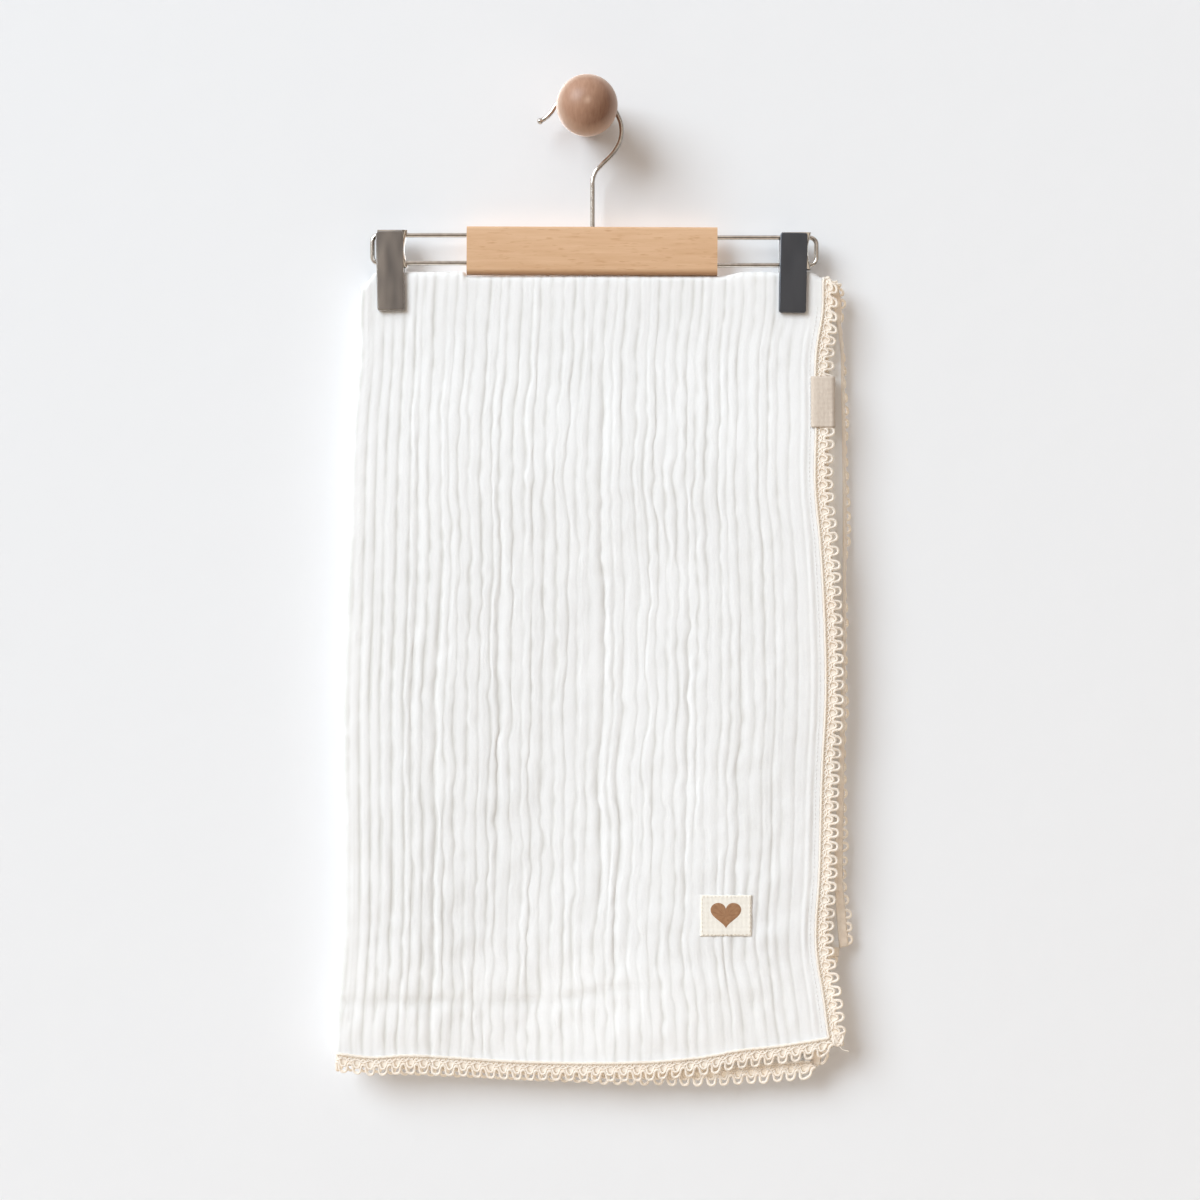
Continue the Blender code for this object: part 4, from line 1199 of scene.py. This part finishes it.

# %% [markdown]
# Beech is pale tan with a fine even grain and many short darker flecks, which are its rays. Both run with the bar, so
# the noise is stretched along X by a Mapping node. The board's eased lower edge, which turns down, is painted a little
# darker as painted shade.

# %% Oil the beech
beech = new_finish("beech", Roughness=0.48, Specular_IOR_Level=0.35)
grain = mottle(beech, (26, 240, 420), detail=5, roughness=0.6)
flecks = mottle(beech, (120, 800, 900), detail=1)
board = shade_between(beech, grain, (210, 168, 129), (222, 183, 146), 0.3, 0.72)
flecked = blended(beech, mask(beech, flecks, 0.60, 0.74), board, (204, 160, 121))
# painted shade on the eased lower edge, which faces down
painted_shade_lower_edge = mask(beech, how_far(beech, placed(beech), (0.0, 0.0, -1.0)), 0.1106, 0.1118)
wire_in(beech, blended(beech, painted_shade_lower_edge, flecked, (176, 134, 98)), raise_by(beech, grain, 0.00025, 0.35))
hand_over(bar, beech, "beech", "hanger_bar")

# %% [markdown]
# ## Wire loops and hook
#
# All the wire is one size of round steel, so each length is a curve with a round bevel. The curve is drawn through
# a list of points, turned into a mesh, and closed at its ends. The hook's tip swells into a small ball.


# %% Bend the wires
def bent_wire(name, route, radii=None):
    start_alone()
    bpy.ops.curve.primitive_nurbs_path_add()
    path = bpy.context.object
    path.name = name
    path.location = (0, 0, 0)
    path.data.splines.clear()
    spline = path.data.splines.new("POLY")
    spline.points.add(len(route) - 1)
    for i, (point, place) in enumerate(zip(spline.points, route)):
        point.co = (*place, 1)
        point.radius = radii[i] if radii else 1.0
    spline.use_smooth = True
    path.data.bevel_depth = WIRE_RADIUS
    path.data.bevel_resolution = 6
    path.data.use_fill_caps = True
    make_active(path)
    bpy.ops.object.convert(target="MESH")
    wire = bpy.context.object
    close_up(wire, 0.000005)
    smooth_up_to(40)
    return wire


def loop_route(bar_end, loop_end, upper, lower, radius):
    """Out of the bar along the top, round two corners and back along the bottom."""
    outwards = math.copysign(1, loop_end - bar_end)
    inside = bar_end - outwards * RAIL_SET
    route = [(inside, HANG_Y, -upper)]
    for corner_down, first in ((upper + radius, 90), (lower - radius, 0)):
        for step in range(13):
            angle = math.radians(first - step * 7.5)
            x = loop_end - outwards * radius * (1 - math.cos(angle))
            route.append((x, HANG_Y, -corner_down + radius * math.sin(angle)))
    route.append((inside, HANG_Y, -lower))
    return route


wires = [(bent_wire("wire_loop_" + name.split("_")[1], loop_route(*sizes)), name) for name, *sizes in RAILS]

# %% Bend the hook
HOOK_ROUTE = (  # x, z of the hook's middle line, from the ball tip over the peg's neck to the bar
    (-0.0349, -0.0066),
    (-0.0300, -0.0041),
    (-0.0256, 0.0001),
    (-0.0221, 0.0053),
    (-0.0180, 0.0097),
    (-0.0106, 0.0132),
    (0.0000, 0.0144),
    (0.0095, 0.0119),
    (0.0167, 0.0064),
    (0.0212, -0.0011),
    (0.0236, -0.0075),
    (0.0241, -0.0125),
    (0.0232, -0.0186),
    (0.0206, -0.0244),
    (0.0162, -0.0302),
    (0.0102, -0.0360),
    (0.0058, -0.0409),
    (0.0039, -0.0460),
    (0.0037, -0.0540),
    (0.0037, -0.0790),
)
HOOK_TIP = (  # along, radius factor
    (0.0, 0.25),
    (0.0003, 0.70),
    (0.0009, 1.12),
    (0.0016, 1.33),
    (0.0023, 1.33),
    (0.0031, 1.12),
    (0.0037, 0.98),
    (0.0045, 1.0),
)
keys = np.array(HOOK_ROUTE)
key_lengths = distances(keys)
key_table = [(s, x, z) for s, (x, z) in zip(key_lengths, keys)]
tip = [s for s, _ in HOOK_TIP]
along = np.concatenate([tip, np.arange(0.0060, key_lengths[-2], 0.0016), [key_lengths[-2], key_lengths[-1]]])
hook_route = [(float(smooth(key_table, 1, s)), HANG_Y, float(smooth(key_table, 2, s))) for s in along]
hook_route.append((SHANK_X, HANG_Y, -BAR["top"] - HOOK_SET))
hook_radii = [factor for _, factor in HOOK_TIP] + [1.0] * (len(hook_route) - len(HOOK_TIP))
wires.append((bent_wire("wire_hook", hook_route, hook_radii), "hanger_hook"))

# %% Plate the wires
plated = new_finish("plated_wire", Roughness=0.14, Metallic=1.0, Specular_Tint=on_screen(110, 98, 88))
drawn = mottle(plated, 300, detail=4)
bright = shade_between(plated, drawn, (206, 201, 195), (226, 222, 216), 0.35, 0.65)
wire_in(plated, bright, raise_by(plated, drawn, 0.00001, 0.1))
for wire, node in wires:
    hand_over(wire, plated, "steel_wire", node)

# %% [markdown]
# ## The clips
#
# A clip is two pressed steel jaws on a folded spring. Each jaw starts as a block: its open side is deleted, the
# corners and the face's edges are bevelled, and Solidify gives the shell the thickness of the steel. The jaws lean a
# little, because the wire lets them. Polished steel shows the room: the left clip mirrors its bright side and the
# right one its dark side. That reflection is painted into their colours: the right clip's steel is a darker copy of
# the left one's, a painted dark reflection.


# %% Press the jaws
def pressed_jaw(name, middle, top, lean, side):
    """side is -1 for the jaw in front of the cloth and 1 for the one behind it."""
    start_alone()
    bpy.ops.mesh.primitive_cube_add(size=1)
    jaw = bpy.context.object
    jaw.name = name
    rim = CREST_TOP + SEWN_GAP
    jaw.scale = (JAW["width"], JAW["outer"] - rim, JAW["height"])
    jaw.location = (0, side * (JAW["outer"] + rim) / 2, -JAW["height"] / 2)
    settle_in_place(jaw)
    start_editing(jaw)
    pick(jaw, "FACE", lambda at, normal: normal.y * side < -0.9)
    bpy.ops.mesh.delete(type="FACE")
    round_edges(jaw, 0.0017, 5, lambda at, way: abs(way.y) > 0.9)
    round_edges(jaw, 0.0008, 4, lambda at, way: at.y * side > JAW["outer"] - 1e-5)
    give_wall(jaw, JAW["metal"])
    smooth_up_to(35)
    change(jaw, "WEIGHTED_NORMAL", keep_sharp=True)
    jaw.location = (middle, HANG_Y, -top)
    jaw.rotation_euler = (0, -math.radians(lean), 0)
    settle_in_place(jaw)
    return jaw


# %% Fold the springs
SPRING = {"metal": 0.0008, "past": 0.0026, "above": 0.0032, "waist": 0.0024, "bend": 0.0016}


def folded_spring(name, middle, levels):
    """A strip folded in a U seen from above, waisted between the two wires that run through it."""
    reach = CREST_TOP - SPRING["metal"] / 2
    left = middle - JAW["width"] / 2 + 0.0010
    right = middle + JAW["width"] / 2 + SPRING["past"]
    top, bottom = levels[0] - SPRING["above"], levels[1] + SPRING["above"]
    bend = SPRING["bend"]
    points = []
    for down in np.linspace(top, bottom, 25):
        web = right - SPRING["waist"] * math.sin(math.pi * (down - top) / (bottom - top))
        turns = np.linspace(0, math.pi / 2, 6)
        near = [(web - bend + bend * math.sin(a), -reach + bend * (1 - math.cos(a))) for a in turns]
        plan = [(left, -reach), ((left + web) / 2, -reach), *near, *[(x, -y) for x, y in near[::-1]], (left, reach)]
        points.append([(x, HANG_Y + y, -down) for x, y in plan])
    spring = grid_piece(name, np.array(points))
    give_wall(spring, SPRING["metal"], offset=0)
    for level in levels:
        drill(spring, (right, HANG_Y, -level), (0, math.pi / 2, 0), 0.014)
    smooth_up_to(35)
    return spring


# %% Polish the steel
def steel_finish(name, dark, light, roughness):
    """Polished plated steel: a slow unevenness and faint fine scratches."""
    finish = new_finish(name, Roughness=roughness, Metallic=1.0)
    cloud = mottle(finish, (90, 60, 26), detail=1, turn=(0, math.radians(40), 0))
    uneven = raise_by(finish, cloud, 0.0008, 0.22)
    scratched = raise_by(finish, mottle(finish, (1500, 1500, 160), detail=2), 0.00001, 0.2, Normal=uneven)
    wire_in(finish, shade_between(finish, cloud, dark, light, 0.35, 0.65), scratched)
    return finish


# painted reflection: one steel in a lighter copy for the left clip and a darker copy for the right
jaw_steels = {
    "clip_left": steel_finish("jaw_steel", (132, 130, 130), (186, 181, 176), 0.22),
    "clip_right": steel_finish("jaw_steel_painted_dark_reflection", (92, 95, 101), (100, 103, 109), 0.36),
}
spring_steel = steel_finish("spring_strip", (216, 210, 202), (232, 228, 220), 0.2)
for name, rail, middle, top, lean in CLIPS:
    levels = next(row[3:5] for row in RAILS if row[0] == rail)
    for end, side in (("front", -1), ("back", 1)):
        jaw = pressed_jaw(f"jaw_{end}_{name[5:]}", middle, top, lean, side)
        hand_over(jaw, jaw_steels[name], "jaw_steel", f"{name}_{end}")
    hand_over(folded_spring("spring_" + name[5:], middle, levels), spring_steel, "spring_steel", name + "_spring")

# %% [markdown]
# ## The wall peg
#
# The peg is turned in one piece. A sphere is cut open where the neck begins, the open ring is drawn out to the wall
# and closed there, and the lathe's centre leaves a small mark on the front.

# %% Turn the peg
PEG = {"ball": 0.0212, "centre": 0.0440, "neck": 0.0125, "foot_edge": 0.0006, "mark": 0.0004}

start_alone()
bpy.ops.mesh.primitive_uv_sphere_add(
    segments=64, ring_count=48, radius=PEG["ball"], location=(0, -PEG["centre"], 0), rotation=(math.pi / 2, 0, 0)
)
peg = bpy.context.object
peg.name = "turned_peg"
settle_in_place(peg)
neck_y = -PEG["centre"] + math.sqrt(PEG["ball"] ** 2 - PEG["neck"] ** 2)
start_editing(peg)
bpy.ops.mesh.bisect(plane_co=(0, neck_y, 0), plane_no=(0, 1, 0), clear_outer=True)
pick(peg, "EDGE", lambda at, way: at.y > neck_y - 1e-5)
bpy.ops.mesh.extrude_region_move(TRANSFORM_OT_translate={"value": (0, -PEG["foot_edge"] - neck_y, 0)})
bpy.ops.mesh.extrude_region_move(TRANSFORM_OT_translate={"value": (0, PEG["foot_edge"], 0)})
foot = 1 - PEG["foot_edge"] / PEG["neck"]
bpy.ops.transform.resize(value=(foot, 1, foot), center_override=(0, 0, 0))
bpy.ops.mesh.edge_face_add()
pick(peg, "FACE", lambda at, normal: at.y < -PEG["centre"] - PEG["ball"] * 0.9985)
bpy.ops.transform.translate(value=(0, PEG["mark"], 0))
bpy.ops.mesh.select_all(action="SELECT")
bpy.ops.mesh.normals_make_consistent(inside=False)
bpy.ops.object.mode_set(mode="OBJECT")
smooth_up_to(40)

# %% [markdown]
# The peg's wood is browner and pinker than the bar's, with close fibres that run up and down and darker pores. Its
# upper left is painted paler and its lower right darker, as painted light and shade, its rim is painted pale as a
# painted reflection, and the lathe's centre shows as a pale dot.

# %% Wax the peg
waxed = new_finish("waxed_wood", Roughness=0.42, Specular_IOR_Level=0.4)
lean = (0, math.radians(4), 0)
fibres = mottle(waxed, (620, 200, 120), detail=5, roughness=0.65, turn=lean)
pores = mottle(waxed, (2400, 600, 500), detail=1, turn=lean)
# painted light and shade: a paler copy of the wood on the upper left and a darker one on the lower right
painted_lit_wood = shade_between(waxed, fibres, (160, 120, 96), (178, 139, 115), 0.28, 0.72)
painted_shaded_wood = shade_between(waxed, fibres, (132, 94, 74), (156, 116, 93), 0.28, 0.72)
# the share of the darker, painted-shade copy grows towards the lower right
share = mask(waxed, how_far(waxed, placed(waxed), (26.0, 0.0, -14.0)), 0.0, 0.5)
from_axis = add_node(waxed, "ShaderNodeVectorMath", placed(waxed, (1, 0, 1)), operation="LENGTH").outputs["Value"]
# painted reflection: the ball's rim is paler
rim = mask(waxed, from_axis, 0.0178, 0.0215)
mark = mask(waxed, from_axis, 0.0008, 0.0017, first=0.6, last=0)
wood = blended(waxed, rim, blended(waxed, share, painted_lit_wood, painted_shaded_wood), (214, 184, 162))
wire_in(waxed, blended(waxed, mark, wood, (206, 172, 148)), raise_by(waxed, pores, 0.00006, 0.4))
hand_over(peg, waxed, "peg_wood", "wall_peg")

# %% [markdown]
# ## Wall, floor and light
#
# The object hangs on a plain white wall over a pale floor, in soft daylight. One large light from the upper left
# gives the short shadows to the right and below. The room fills the rest: bright above and on the left, dark on the
# right, which the steel mirrors. The wall is seen through from behind, and a lamp behind it lights only the object,
# so that the back can be looked at too.

# %% Paint the wall and the floor
WALL_Y = 0.0005
FLOOR_Z = -2.3


def painted(name, colour):
    """Matt paint with soft roller marks."""
    paint = new_finish(name, Roughness=0.9, Specular_IOR_Level=0.2)
    roller_marks = mottle(paint, 22, detail=6, roughness=0.6)
    wire_in(paint, on_screen(*colour), raise_by(paint, roller_marks, 0.0012, 0.25))
    return paint


start_alone()
bpy.ops.mesh.primitive_plane_add(size=8, location=(0, WALL_Y, 0), rotation=(math.pi / 2, 0, 0))
wall = bpy.context.object
wall.name = "wall"
bpy.ops.mesh.primitive_plane_add(size=5, location=(0, 0, FLOOR_Z))
floor = bpy.context.object
floor.name = "floor"
floor.data.materials.append(painted("floor_paint", (210, 194, 176)))
wall_paint = painted("wall_paint_seen_through_from_behind", (236, 236, 237))
side = add_node(wall_paint, "ShaderNodeNewGeometry").outputs["Backfacing"]
mix_in(wall_paint, side, add_node(wall_paint, "ShaderNodeBsdfTransparent"))
wall.data.materials.append(wall_paint)
print("wall at y =", WALL_Y)

# %% Light it like a bright room
LAMPS = {  # place, size, watts, tint
    "window_light": ((-8.6, -9.1, 7.0), 8.9, 2370, (0.80, 0.905, 0.995)),
    "ceiling_light": ((0.1, -1.5, 1.9), 1.8, 2, (1.0, 0.99, 0.97)),
    "fill_light": ((1.6, -2.6, 0.2), 2.2, 9, (1.0, 0.88, 0.76)),
    "light_behind_the_wall": ((-0.6, 1.8, 0.4), 1.6, 30, (1.0, 1.0, 1.0)),
}
AIM = (0.0, 0.0, -0.35)


def soft_light(name, at, size, watts, tint):
    bpy.ops.object.light_add(type="AREA", location=at)
    lamp = bpy.context.object
    lamp.name = name
    lamp.data.size = size
    lamp.data.energy = watts
    lamp.data.color = tint
    lamp.rotation_euler = (Vector(AIM) - Vector(at)).to_track_quat("-Z", "Y").to_euler()
    lamp.visible_camera = False
    return lamp


lamps = {name: soft_light(name, *sizes) for name, sizes in LAMPS.items()}
behind = lamps["light_behind_the_wall"]
past_the_wall = bpy.data.collections.new("past_the_wall")
past_the_wall.objects.link(wall)
past_the_wall.collection_objects[0].light_linking.link_state = "EXCLUDE"
behind.light_linking.blocker_collection = past_the_wall
behind.light_linking.receiver_collection = past_the_wall

sky = bpy.data.worlds.new("pale_room")
bpy.context.scene.world = sky
sky.use_nodes = True
ahead = add_node(sky, "ShaderNodeTexCoord").outputs["Generated"]
upper_left = how_far(sky, ahead, (-1.0, 0.0, 1.1))
lifted = add_node(sky, "ShaderNodeMath", upper_left, 0.4, operation="ADD").outputs["Value"]
room = ramp(sky, lifted, (0.13, 0.107, 0.088, 1), (0.60, 0.53, 0.475, 1), 0.50, 0.64)
sky.node_tree.links.new(room, sky.node_tree.nodes["Background"].inputs["Color"])
bpy.context.scene.view_settings.view_transform = "Standard"
print(len(lamps), "lamps and a room that is darker on its right")
